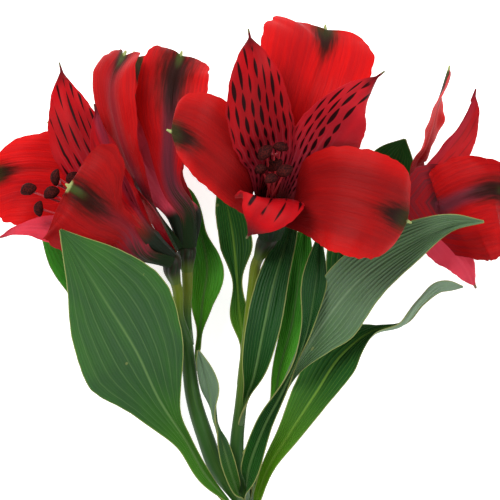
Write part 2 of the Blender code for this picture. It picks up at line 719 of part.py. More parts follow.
LEAVES = [
    Leaf(
        "leaf_big_left", "stem", -78.5, 150,
        [(-13.5, -67.5, 31), (-19, -57.5, 36), (-27, -45, 43), (-34, -30, 51), (-43, -15, 59), (-51, -2, 65), (-56, 6, 66)],
        [(0.3, -0.2, 1), (0.25, 0.1, 1), (0.2, 0.1, 1), (0.1, 0.1, 1)],
        [1.2, 2.4, 4, 11.5, 15.6, 11.2, 5, 0.4],
        [1.2, 2.2, 3.2, 7.6, 11.5, 15.4, 9.5, 0.4],
        [0, 0.15, 0.25, 0.42, 0.57, 0.73, 0.87, 1],
    ),
    Leaf(
        "leaf_back_left", "stem", -80.5, 208,
        [(-11, -68, 17), (-23.5, -47, 12), (-39.5, -23, 9), (-53, -2.5, 10), (-64.5, 13.5, 14)],
        [(0.3, 0, 1), (0, 0, 1), (0, 0, 1), (0, 0, 1)],
        [1.2, 4, 9, 11.5, 8, 0.4],
        [1.2, 4, 9, 12, 8, 0.4],
    ),
    Leaf(
        "leaf_behind_upright", "left_ray", -36.5, 350,
        [(-15.5, -26.5, 23), (-14, -15.5, 18), (-13.5, -2, 14), (-18, 11.5, 11), (-23.5, 22.5, 9)],
        [(0.3, 0.1, 1), (0, 0, 1), (-0.1, 0, 1), (-0.1, 0, 1)],
        [0.9, 1.6, 4.5, 6, 5, 3, 0.4],
        [0.9, 1.6, 4.5, 6, 5, 3, 0.4],
    ),
    Leaf(
        "leaf_small_twisted", "stem", -76.5, 103,
        [(-6, -66, 33), (-8.5, -57.5, 34), (-10.5, -51, 35), (-12, -42, 36), (-15.5, -30, 38)],
        [(0.3, 0, 1), (0.8, 0, 0.6), (0.3, 0, 1), (0.2, 0, 1), (0.2, 0, 1)],
        [1.1, 2.2, 1.8, 3.4, 2.8, 0.4],
        [1.1, 2.2, 1.8, 3.4, 2.8, 0.4],
    ),
    Leaf(
        "leaf_behind_center", "center_ray", -40.5, 200,
        [(-3.5, -28.5, 22), (-4, -18, 20), (-4, -7.5, 18), (-5.5, 6.5, 17), (-9, 22, 19)],
        [(0.3, 0, 1), (-0.5, 0, 0.8), (0.3, 0, 1), (0, 0, 1)],
        [0.9, 3.0, 3.2, 2.2, 5.6, 5, 0.4],
        [0.9, 3.0, 3.4, 2.2, 5.6, 5, 0.4],
    ),
    Leaf(
        "leaf_center_dark", "center_ray", -52.5, 65,
        [(1, -38.5, 36), (4, -24, 38), (7, -10.5, 36), (12, 5.5, 31), (14.5, 13.5, 29)],
        [(-0.2, 0, 1), (-0.1, 0, 1), (0, 0, 1), (0, 0, 1)],
        [0.9, 4.0, 4.6, 3.6, 2.6, 0.4],
        [0.9, 3.6, 4.4, 3.8, 2.6, 0.4],
    ),
    Leaf(
        "leaf_center_pale", "center_ray", -61.5, 10,
        [(2.5, -51, 28), (6.5, -36.5, 29), (11, -21, 28), (15, -3.5, 28), (17.5, 10.5, 28)],
        [(0.2, 0, 1), (0.1, 0, 1), (0, 0, 1), (0, 0, 1)],
        [0.9, 1.8, 3, 4.4, 4.4, 3, 0.4],
        [0.9, 1.8, 3, 4.2, 4.2, 3, 0.4],
    ),
    Leaf(
        "leaf_right_of_center", "stem", -76, 50,
        [(-1, -65.5, 33), (4, -53.5, 38), (11, -40.5, 43), (14, -27, 48), (16.5, -12.5, 50), (21.5, 5.5, 46)],
        [(-0.1, -0.1, 1), (0.2, 0, 1), (0.9, 0, 0.5), (0.2, 0, 1), (0, 0, 1)],
        [1.2, 3.0, 3.4, 2.0, 4.4, 4.6, 0.4],
        [1.2, 3.0, 3.4, 2.0, 4.6, 4.4, 0.4],
    ),
    Leaf(
        "leaf_big_right", "stem", -77.5, 20,
        [
            (4, -58.5, 26), (7.5, -44.5, 31), (14, -33.5, 38), (22.5, -21, 44),
            (34, -7.5, 51), (47.5, 1.5, 54), (59.5, 7, 54), (69.5, 8.5, 50),
        ],
        [(0.1, 0, 1), (0.1, 0, 1), (0, 0, 1), (0, 0, 1)],
        [1.1, 1.2, 1.6, 5.6, 8.0, 6.8, 4.0, 0.4],
        [1.1, 1.2, 3.4, 9.0, 6.8, 6.0, 2.8, 0.4],
        [0, 0.22, 0.39, 0.52, 0.67, 0.81, 0.92, 1],
    ),
    Leaf(
        "leaf_low_right", "stem", -81.5, 44,
        [
            (6, -63.5, 31), (11.5, -51.5, 31), (18.5, -41, 30), (28.5, -28.5, 32),
            (37.5, -23.5, 37), (48, -19, 39), (56.5, -12, 38), (64, -10, 36),
        ],
        [(0.1, 0, 1), (0.1, 0, 1), (0, 0.1, 1), (0.4, 0.6, 0.7), (0, 0, 1), (0, 0, 1)],
        [1.2, 3.0, 4.0, 5.6, 2.6, 2.4, 2.2, 0.4],
        [1.2, 3.6, 6.6, 5.4, 1.6, 2.4, 2.2, 0.4],
    ),
    Leaf(
        "leaf_behind_right", "stem", -79.5, 322,
        [(4.5, -64, 11), (16, -40, 8), (29, -12, 6), (38, 10.5, 8), (43.5, 26, 12), (49, 33.5, 16)],
        [(0.1, 0, 1), (0.1, 0, 1), (0, 0, 1)],
        [1.2, 4.6, 8, 8.5, 6.5, 0.4],
        [1.2, 4.6, 8, 8.5, 6.5, 0.4],
        [0, 0.25, 0.5, 0.75, 0.9, 1],
    ),
]


def add_leaves(blooms, material, root):
    shoots = {shoot.name: shoot for shoot in [MAIN_STEM, *SHOOTS]}
    for leaf in LEAVES:
        blade = leaf.blade(shoots, blooms)
        add_blade(leaf.name, blade, LEAF_ROWS, LEAF_COLUMNS, material, root, np.zeros(3))


def clear_scene():
    for thing in list(bpy.data.objects):
        bpy.data.objects.remove(thing)


def main():
    clear_scene()
    root = bpy.data.objects.new("alstroemeria", None)
    bpy.context.scene.collection.objects.link(root)
    root.location = (-FOOTPRINT_CENTER[0] * MM, -FOOTPRINT_CENTER[1] * MM, 0)
    materials = {
        "outer": outer_tepal_material(),
        "inner": inner_tepal_material(),
        "ovary": ovary_material(),
        "stamens": stamen_material(),
    }
    blooms = {bloom.name: bloom for bloom in (center_bloom(), left_bloom(), upright_bloom(), right_bloom())}
    add_stem(blooms, stem_material(), root)
    for bloom in blooms.values():
        add_bloom(bloom, materials, root)
    add_leaves(blooms, leaf_material(), root)


main()
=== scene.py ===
"""The looks of a cut alstroemeria stem: four open red blooms over twisted leaves, lying down.

Lengths in the tables are in millimetres and angles in degrees, in the drawing whose origin lies
under the middle of the blooms. DRAWING_TO_PART moves them to the part's own frame, where +X runs
to the right of the spray, +Y along the stem towards the blooms and +Z up from the surface.
"""

import logging
import math
import zlib
from collections.abc import Callable, Sequence
from dataclasses import dataclass, field, replace
from enum import Enum

import bpy
import mathutils
import numpy as np
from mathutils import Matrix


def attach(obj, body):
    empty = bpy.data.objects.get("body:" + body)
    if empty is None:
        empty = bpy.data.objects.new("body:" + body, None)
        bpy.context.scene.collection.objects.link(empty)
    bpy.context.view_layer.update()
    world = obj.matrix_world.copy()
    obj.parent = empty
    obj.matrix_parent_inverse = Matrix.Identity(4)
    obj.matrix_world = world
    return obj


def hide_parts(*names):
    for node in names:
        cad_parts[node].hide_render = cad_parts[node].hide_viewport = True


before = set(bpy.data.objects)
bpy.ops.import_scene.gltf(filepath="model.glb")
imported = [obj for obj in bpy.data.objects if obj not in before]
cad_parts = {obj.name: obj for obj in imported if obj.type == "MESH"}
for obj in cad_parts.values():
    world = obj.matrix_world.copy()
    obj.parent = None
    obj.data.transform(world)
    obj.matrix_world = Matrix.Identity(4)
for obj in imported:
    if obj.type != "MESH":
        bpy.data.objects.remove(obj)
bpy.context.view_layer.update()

Array = np.ndarray
Pair = tuple[float, float]
Triple = tuple[float, float, float]
Widths = float | list[float]
Socket = bpy.types.NodeSocket

MM = 0.001
TURN = 2 * math.pi
DRAWING_TO_PART = (-2.1, 62.0, 0.0)
SHARP_ANGLE = 55

log = logging.getLogger("alstroemeria")


# Curves and directions


def unit(vectors: Array) -> Array:
    """Vectors made one long, also a whole array of them."""
    vectors = np.asarray(vectors, float)
    return vectors / np.maximum(np.linalg.norm(vectors, axis=-1, keepdims=True), 1e-12)


def ramp(value: Array, start: float, stop: float) -> Array:
    """A smooth step from 0 at start to 1 at stop: 3x² - 2x³ of the share x of the way."""
    x = np.clip((value - start) / (stop - start), 0, 1)
    return x * x * (3 - 2 * x)


def curve_through(knots: Array, values: Array, at: Array) -> Array:
    """A smooth curve through values at knots.

    Each stretch is a cubic with the values and slopes of its two ends, and a knot's slope is the
    central difference of its neighbours.

    Args:
        knots: the parameter of each value, rising.
        values: one number or one vector for each knot.
        at: where the curve is read.

    Returns:
        The curve's values, one row for each entry of at.
    """
    knots = np.asarray(knots, float)
    values = np.asarray(values, float)
    slopes = np.gradient(values, knots, axis=0)
    index = np.clip(np.searchsorted(knots, at, side="right") - 1, 0, len(knots) - 2)
    step = knots[index + 1] - knots[index]
    s = (at - knots[index]) / step
    if values.ndim > 1:
        step = step[:, None]
        s = s[:, None]
    return (
        (2 * s**3 - 3 * s**2 + 1) * values[index]
        + (s**3 - 2 * s**2 + s) * step * slopes[index]
        + (3 * s**2 - 2 * s**3) * values[index + 1]
        + (s**3 - s**2) * step * slopes[index + 1]
    )


def spine_knots(points: Array) -> Array:
    """Each point's share of the length along the points."""
    lengths = np.linalg.norm(np.diff(np.asarray(points, float), axis=0), axis=1)
    return np.r_[0, np.cumsum(lengths)] / lengths.sum()


def along_spine(points: Array, at: Array) -> tuple[Array, Array]:
    """Places and directions on a spine.

    Args:
        points: the spine's own points.
        at: shares of its length, from 0 to 1.

    Returns:
        The places, and the unit directions there.
    """
    knots = spine_knots(points)
    step = 1e-3
    behind, before = np.clip([at - step, at + step], 0, 1)
    ahead = curve_through(knots, points, before) - curve_through(knots, points, behind)
    return curve_through(knots, points, at), unit(ahead)


def phases(name: str, count: int) -> Array:
    """Numbers from 0 to 1 that are always the same for a name, so that no two blades wave alike."""
    return np.random.default_rng(zlib.crc32(name.encode())).random(count)


# Meshes


@dataclass
class Skin:
    """A closed surface before it becomes a mesh.

    points are in drawing millimetres, quads and triangles hold point numbers, finish says which
    of the piece's materials each quad and triangle takes, and traits hold a vector for each point
    that the materials read.
    """

    points: Array
    quads: Array
    triangles: Array
    quad_finish: Array
    triangle_finish: Array
    traits: dict[str, Array]


def joined(skins: list[Skin]) -> Skin:
    """Several skins as one, each still closed in itself."""
    starts = np.cumsum([0] + [len(skin.points) for skin in skins[:-1]])
    return Skin(
        points=np.concatenate([skin.points for skin in skins]),
        quads=np.concatenate([skin.quads + start for skin, start in zip(skins, starts)]),
        triangles=np.concatenate([skin.triangles + start for skin, start in zip(skins, starts)]),
        quad_finish=np.concatenate([skin.quad_finish for skin in skins]),
        triangle_finish=np.concatenate([skin.triangle_finish for skin in skins]),
        traits={name: np.concatenate([skin.traits[name] for skin in skins]) for name in skins[0].traits},
    )


def add_piece(name: str, skin: Skin, materials: list[bpy.types.Material], node: str) -> None:
    """Puts a skin into a mesh object that stands for a node of the part, at the origin.

    Args:
        name: the piece's name.
        skin: its surface.
        materials: its materials, in the order that the skin's finish numbers name them.
        node: the CAD node that it replaces.
    """
    mesh = bpy.data.meshes.new(name)
    mesh.vertices.add(len(skin.points))
    mesh.vertices.foreach_set("co", ((skin.points + DRAWING_TO_PART) * MM).ravel())
    corners = np.concatenate([skin.quads.ravel(), skin.triangles.ravel()])
    starts = np.r_[
        np.arange(len(skin.quads)) * 4,
        len(skin.quads) * 4 + np.arange(len(skin.triangles)) * 3,
    ]
    mesh.loops.add(len(corners))
    mesh.loops.foreach_set("vertex_index", corners.astype(np.int32))
    mesh.polygons.add(len(starts))
    mesh.polygons.foreach_set("loop_start", starts.astype(np.int32))
    mesh.update(calc_edges=True)
    for material in materials:
        mesh.materials.append(material)
    finish = np.concatenate([skin.quad_finish, skin.triangle_finish])
    mesh.polygons.foreach_set("material_index", finish.astype(np.int32))
    for trait, values in skin.traits.items():
        attribute = mesh.attributes.new(trait, "FLOAT_VECTOR", "POINT")
        attribute.data.foreach_set("vector", values.astype(np.float32).ravel())
    mesh.shade_smooth()
    mesh.set_sharp_from_angle(angle=math.radians(SHARP_ANGLE))
    piece = bpy.data.objects.new(name, mesh)
    bpy.context.scene.collection.objects.link(piece)
    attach(piece, "root")
    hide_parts(node)
    log.info("%s: %d faces", name, len(finish))


def ring_skin(rings: Array, traits: dict[str, Array], finish: Array) -> Skin:
    """A closed tube from rings of points.

    The quads join each ring to the next and each side to the one after, round to the first. A
    fan from the middle of the first and of the last ring closes each end.

    Args:
        rings: points as rows, sides, 3, turning clockwise seen against the tube's direction.
        traits: vectors as rows, sides, 3, by name.
        finish: the material number of each strip between two rings.

    Returns:
        The skin.
    """

    def with_middles(grid: Array) -> Array:
        """The grid as a list, followed by the mean of its first and of its last ring."""
        return np.concatenate([grid.reshape(-1, 3), grid[[0, -1]].mean(axis=1)])

    rows, sides = rings.shape[:2]
    index = np.arange(rows * sides).reshape(rows, sides)
    after = np.roll(index, -1, axis=1)
    quads = np.stack([index[:-1], index[1:], after[1:], after[:-1]], axis=-1).reshape(-1, 4)
    first, last = rows * sides, rows * sides + 1
    start_fan = np.stack([np.full(sides, first), index[0], after[0]], axis=-1)
    end_fan = np.stack([np.full(sides, last), after[-1], index[-1]], axis=-1)
    return Skin(
        points=with_middles(rings),
        quads=quads,
        triangles=np.concatenate([start_fan, end_fan]),
        quad_finish=np.repeat(finish, sides),
        triangle_finish=np.repeat([finish[0], finish[-1]], sides),
        traits={name: with_middles(values) for name, values in traits.items()},
    )


@dataclass
class Tube:
    """A round piece along points: a ray, a filament, an anther or an ovary.

    swell takes the share of the length and the angle round the tube, both as arrays, and gives
    the share by which the radius grows there. round_start and round_end are the shares of the
    length over which the ends close like a ball. cut_rings close a cut end, down to cut_eye of
    its radius, and dish it in by cut_dish.
    """

    points: Array
    radii: Sequence[float]
    rows: int
    sides: int
    swell: Callable[[Array, Array], Array] | None = None
    round_start: float = 0.0
    round_end: float = 0.0
    finish: int = 0
    cut_rings: int = 0
    cut_finish: int = 1
    cut_eye: float = 0.15
    cut_dish: float = 0.35
    least_radius: float = 0.02

    def skin(self) -> Skin:
        """The tube's closed surface.

        A point is the spine's place plus the radius times (cosine of the angle across, plus sine
        of it along the second normal). The radius follows a smooth curve through radii, times
        one plus swell, and at a round end times the root of one less the square of the way
        left. A cut end adds rings that shrink to the middle and dish in a little.
        """
        t = np.linspace(0, 1, self.rows + 1)
        if self.round_start or self.round_end:
            t = (1 - np.cos(math.pi * t)) / 2
        middle, ahead = along_spine(np.asarray(self.points, float), t)
        radius = curve_through(np.linspace(0, 1, len(self.radii)), self.radii, t)
        for length, way in ((self.round_start, t), (self.round_end, 1 - t)):
            if length:
                radius = radius * np.sqrt(1 - (1 - np.clip(way / length, 0, 1)) ** 2)
        radius = np.maximum(radius, self.least_radius)
        least_travelled = np.argmin(np.abs(ahead.mean(axis=0)))
        across = unit(np.cross(ahead, np.eye(3)[least_travelled]))
        second = np.cross(across, ahead)
        angle = np.linspace(0, TURN, self.sides, endpoint=False)[None]
        grow = 1 + (self.swell(t[:, None], angle) if self.swell else 0)
        way = np.cos(angle)[..., None] * across[:, None] + np.sin(angle)[..., None] * second[:, None]
        rings = middle[:, None] + (radius[:, None] * grow)[..., None] * way
        reach = np.ones(len(t))
        finish = np.full(self.rows, self.finish)
        if self.cut_rings:
            share = np.linspace(1, self.cut_eye, self.cut_rings + 1)[1:]
            cut = middle[-1] + share[:, None, None] * (rings[-1] - middle[-1])
            cut = cut - ((1 - share**2) * self.cut_dish)[:, None, None] * ahead[-1]
            rings = np.concatenate([rings, cut])
            t = np.r_[t, np.ones(self.cut_rings)]
            reach = np.r_[reach, share]
            finish = np.r_[finish, np.full(self.cut_rings, self.cut_finish)]
        length = np.linalg.norm(np.diff(middle, axis=0), axis=1).sum()
        run = t[:, None] * length
        grain = np.stack(np.broadcast_arrays(np.cos(angle), np.sin(angle), run), axis=-1)
        place = np.stack(np.broadcast_arrays(t[:, None], reach[:, None], 0 * angle), axis=-1)
        return ring_skin(rings, {"grain": grain, "place": place}, finish)


# Blades: tepals and leaves

BLADE_THICKNESS = 0.55
THINNEST = 0.13
MARGIN_THINNING = 0.78
TIP_HALF_WIDTH = 0.16
GROOVE_HALF_WIDTH = 0.75
RIB_HALF_WIDTH = 0.8
# Each wave of a scalloped margin: its height against the others, and its count along the blade
SCALLOPS = ((0.9, 2.9), (0.7, 6.7), (0.55, 13.3), (0.4, 21.0))
SCALLOP_BEAT = 0.31
# The ruffle's second wave: its height and its count against the first
RUFFLE_SECOND = (0.4, 2.3)
# The roll's waves along the blade and across a side, and how far across they start
ROLL_ALONG = 1.4
ROLL_ACROSS = 0.9
ROLL_SHIFT = 0.3
# A dash's length at the claw, and what it gains on the way to the tip
DASH_LENGTH = 1.4
DASH_GROWTH = 8.0
# Shares of the length between which something grows or fades
WAVES_GROW = (0.25, 0.55)
WAVES_CALM = (0.93, 1.0)
CALMED = 0.6
CLAW_UNCURLS = (0.04, 0.34)
LOBE_GROWS = (0.45, 0.90)
RELIEF_GROWS = (0.0, 0.12)
RELIEF_FADES = (0.9, 1.0)
RIB_FADES = (0.85, 1.0)
POINT_STARTS = 0.9
POINT_TAPER = 0.09
# Shares of the way from the spine to the margin between which something grows
FLARE_GROWS = (0.55, 1.0)
RUFFLE_GROWS = (0.4, 1.0)
ROLL_GROWS = (0.0, 0.5)


@dataclass(frozen=True)
class Outline:
    """A blade's width along its length: a narrow claw, a swell, and a rounded or pointed end."""

    claw: float
    wide: float
    rise: float
    blunt: float
    close: float

    def half_width(self, t: Array, neck: float, widest: float, slim: float) -> Array:
        """Half the width at each share t of the length, from neck to widest and down to nothing."""
        swell = ramp(t, self.claw, self.wide) ** (self.rise * slim)
        past = np.clip((t - self.wide) / (1 - self.wide), 0, 1)
        end = np.clip(1 - past**self.blunt, 0, 1) ** self.close
        return np.where(t < self.wide, neck + (widest - neck) * swell, widest * end)


@dataclass(frozen=True)
class Relief:
    """How a blade's surface departs from its plain form, in millimetres unless it is a share.

    The margins ruffle in waves and their width by the share scallop, the sides roll, a groove
    runs down the face and a rib under it, pleats fold both faces, and a tepal ends in a point.
    """

    ruffle: float
    waves: float
    scallop: float
    roll: float
    groove: float
    keel_rib: float
    pleat: float = 0.0
    pleats: float = 6.0
    tip_length: float = 0.0
    tip_half_width: float = 0.0


@dataclass(kw_only=True)
class Form:
    """How a blade bends, and its look. A pair holds the left and the right side, seen from the face.

    keel is the angle at which a side leaves the spine, cup the angle that it gains up to the
    margin, and flare the angle by which the margin bends back towards the tip. lobe carries the
    margin forward near the tip, by a share of the half width, and dome spreads that further in.
    slim makes a side swell later. look is read by the finishes; its third number is a painted light
    level. The dashes stop at the share streak_edge of the fan, and pitch stretches them.
    """

    keel: Pair = (0, 0)
    cup: Pair = (8, 8)
    flare: float = 0
    lobe: Pair = (0, 0)
    dome: float = 0.25
    slim: Pair = (1, 1)
    look: Triple = (1.0, 0.75, 1.0)
    streak_edge: float = 1.1
    pitch: float = 1.0


@dataclass
class Blade:
    """A thin blade along a spine, whose face looks along faces at the shares face_at.

    halves holds the left and the right half width: the widest one where there is an outline, and
    else a list of them at the shares width_at. crowding sets the rows closer towards the tip.
    """

    name: str
    spine: Array
    faces: list[Triple]
    face_at: list[float]
    halves: tuple[Widths, Widths]
    form: Form
    relief: Relief
    outline: Outline | None = None
    width_at: list[float] | None = None
    neck: float = 0.0
    claw_curl: float = 0.0
    crowding: float = 1.25

    def half_widths(self, t: Array, side: int) -> Array:
        """One side's half width, with the little point that ends a tepal.

        Args:
            t: shares of the length.
            side: 0 for the left, 1 for the right.

        Returns:
            The half width at each share.
        """
        widths = self.halves[side]
        if not self.outline:
            at = np.linspace(0, 1, len(widths)) if self.width_at is None else self.width_at
            return np.maximum(curve_through(at, widths, t), TIP_HALF_WIDTH)
        body = 1 - self.relief.tip_length
        half = self.outline.half_width(np.minimum(t / body, 1), self.neck, widths, self.form.slim[side])
        point = self.relief.tip_half_width * np.sqrt(np.clip((1 - t) / POINT_TAPER, 0, 1))
        return np.maximum(np.maximum(half, np.where(t > POINT_STARTS, point, 0)), TIP_HALF_WIDTH)

    def offsets(self, t: Array, out: Array, side: int) -> tuple[Array, Array, Array, Array]:
        """Where the points of one side lie against the spine.

        Going out from the spine, a point moves along the slope angle, which is the keel angle
        plus the cup angle times the share of the way, less a flare that grows towards the tip,
        plus a curl that bends the claw round the throat. The steps are summed. The margin waves
        by sines along the length that fade out towards the spine and the claw, and the half
        width itself waves by the scallop.

        Args:
            t: shares of the length, one for each row.
            out: shares of the way from the spine to the margin, one for each column.
            side: 0 for the left side, 1 for the right.

        Returns:
            The way sideways, upward and forward, and the half width, each as a grid.
        """
        form, relief = self.form, self.relief
        phase = phases(f"{self.name} {side}", 8)
        free = ramp(t, *WAVES_GROW) * (1 - CALMED * ramp(t, *WAVES_CALM))
        scallop = 0
        for number, (size, count) in enumerate(SCALLOPS):
            beat = np.sin(TURN * (SCALLOP_BEAT * count * t + phase[number + 1]))
            scallop = scallop + size * np.sin(TURN * (count * t + phase[number])) * beat
        half = self.half_widths(t, side) * (1 + relief.scallop * free * scallop)
        flare = math.radians(form.flare) * t[:, None] * ramp(out, *FLARE_GROWS)
        tilt = math.radians(form.keel[side]) + math.radians(form.cup[side]) * out - flare
        curl = math.radians(self.claw_curl) * (1 - ramp(t, *CLAW_UNCURLS))
        tilt = tilt + curl[:, None] * out
        steps = half[:, None] * out[1]
        sideways, upward = (
            np.pad(np.cumsum((part[:, 1:] + part[:, :-1]) / 2, 1) * steps, ((0, 0), (1, 0)))
            for part in (np.cos(tilt), np.sin(tilt))
        )
        round_lobe = (1 - form.dome) * out**2 + form.dome * out * (2 - out)
        forward = (form.lobe[side] * half * ramp(t, *LOBE_GROWS))[:, None] * round_lobe
        wave = np.sin(TURN * (relief.waves * t + phase[2]))
        height, count = RUFFLE_SECOND
        wave = wave + height * np.sin(TURN * (count * relief.waves * t + phase[3]))
        swing = np.sin(TURN * (ROLL_ALONG * t[:, None] + phase[4]))
        swing = swing * np.sin(math.pi * (ROLL_ACROSS * out + ROLL_SHIFT * phase[5]))
        lift = relief.ruffle * (free * wave)[:, None] * ramp(out, *RUFFLE_GROWS)
        lift = lift + relief.roll * free[:, None] * swing * ramp(out, *ROLL_GROWS)
        return sideways, upward + lift, forward, half[:, None] + 0 * out

    def surface(self, rows: int, columns: int) -> tuple[Array, Array, Array, Array]:
        """The middle of the blade as a grid: the spine plus both sides' offsets along its axes.

        Args:
            rows: quads along the length.
            columns: quads across.

        Returns:
            The points (rows + 1, columns + 1, 3), the share across from -1 to 1, the share along
            from 0 to 1, and the half width in millimetres, each of the last three as a grid.
        """
        t = 1 - (1 - np.linspace(0, 1, rows + 1)) ** self.crowding
        out = np.linspace(0, 1, columns // 2 + 1)
        middle, ahead = along_spine(self.spine, t)
        face = curve_through(self.face_at, unit(self.faces), t)
        across = unit(np.cross(ahead, face))
        normal = np.cross(across, ahead)
        sides = zip((-1, 1, 1, 1), self.offsets(t, out, 0), self.offsets(t, out, 1))
        sideways, upward, forward, half = (
            np.concatenate([sign * left[:, :0:-1], right], axis=1) for sign, left, right in sides
        )
        points = (
            middle[:, None]
            + sideways[..., None] * across[:, None]
            + upward[..., None] * normal[:, None]
            + forward[..., None] * ahead[:, None]
        )
        share = np.broadcast_to(np.r_[-out[:0:-1], out], half.shape)
        return points, share, np.broadcast_to(t[:, None], half.shape), half

    def skin(self, rows: int, columns: int) -> Skin:
        """The blade with its two faces and its rim.

        Each face lies half the thickness from the middle grid, along its normal. The thickness
        falls with the cube of the share across. The face has a groove over the midrib and the
        back a rib under it, both bell curves of the distance from the spine, and pleats move
        both faces by a cosine of the share across.

        Args:
            rows: steps along the blade.
            columns: steps across each side.

        Returns:
            The closed skin.
        """
        form, relief = self.form, self.relief
        middle, share, t, half = self.surface(rows, columns)
        normal = unit(np.cross(np.gradient(middle, axis=1), np.gradient(middle, axis=0)))
        reach = share * half
        body = ramp(t, *RELIEF_GROWS) * (1 - ramp(t, *RELIEF_FADES))
        pleat = relief.pleat * np.cos(TURN * relief.pleats * share) * body * (1 - share**6)
        groove = relief.groove * np.exp(-((reach / GROOVE_HALF_WIDTH) ** 2)) * body
        rib = relief.keel_rib * np.exp(-((reach / RIB_HALF_WIDTH) ** 2)) * (1 - ramp(t, *RIB_FADES))
        thickness = np.maximum(BLADE_THICKNESS * (1 - MARGIN_THINNING * np.abs(share) ** 3), THINNEST)
        front = middle + (thickness / 2 + pleat - groove)[..., None] * normal
        back = middle - (thickness / 2 - pleat + rib)[..., None] * normal
        steps = np.linalg.norm(np.diff(middle[:, columns // 2], axis=0), axis=1)
        run = np.cumsum(np.r_[0, steps])[:, None]
        dashes = form.pitch * (DASH_LENGTH + DASH_GROWTH * t[:, :1])
        dashes = np.cumsum(np.r_[0, steps][:, None] / dashes, axis=0)
        fan = reach / np.maximum.accumulate(half, axis=0)

        def on_both(first: Array, second: Array, third: Array) -> Array:
            """Three values for each point of the face and, the same again, of the back."""
            grid = np.stack(np.broadcast_arrays(first, second, third, t)[:3], axis=-1)
            return np.tile(grid.reshape(-1, 3), (2, 1)).astype(float)

        traits = {
            "blade": on_both(share, t, 0),
            "measure": on_both(reach, run[-1] - run, half * (1 - np.abs(share))),
            "fan": on_both(fan, dashes, form.streak_edge),
            "look": on_both(*form.look),
        }
        traits["blade"][: share.size, 2] = 1
        return slab_skin(front, back, traits)


def slab_skin(front: Array, back: Array, traits: dict[str, Array]) -> Skin:
    """A closed slab between two grids of points.

    The quads of the front run round it so that their normals leave it, those of the back run the
    other way, and four strips of quads join the two along their rims.

    Args:
        front: the upper grid, (rows, columns, 3).
        back: the lower grid, alike.
        traits: vectors for the front's points and then the back's, by name.

    Returns:
        The skin.
    """
    rows, columns = front.shape[:2]
    up = np.arange(rows * columns).reshape(rows, columns)
    low = up + rows * columns
    strips = [
        (up[:-1, :-1], up[:-1, 1:], up[1:, 1:], up[1:, :-1]),
        (low[:-1, :-1], low[1:, :-1], low[1:, 1:], low[:-1, 1:]),
        (up[:-1, 0], up[1:, 0], low[1:, 0], low[:-1, 0]),
        (up[1:, -1], up[:-1, -1], low[:-1, -1], low[1:, -1]),
        (up[0, 1:], up[0, :-1], low[0, :-1], low[0, 1:]),
        (up[-1, :-1], up[-1, 1:], low[-1, 1:], low[-1, :-1]),
    ]
    quads = np.concatenate([np.stack(corners, axis=-1).reshape(-1, 4) for corners in strips])
    return Skin(
        points=np.concatenate([front.reshape(-1, 3), back.reshape(-1, 3)]),
        quads=quads,
        triangles=np.zeros((0, 3), int),
        quad_finish=np.zeros(len(quads), int),
        triangle_finish=np.zeros(0, int),
        traits=traits,
    )


# Shader tools


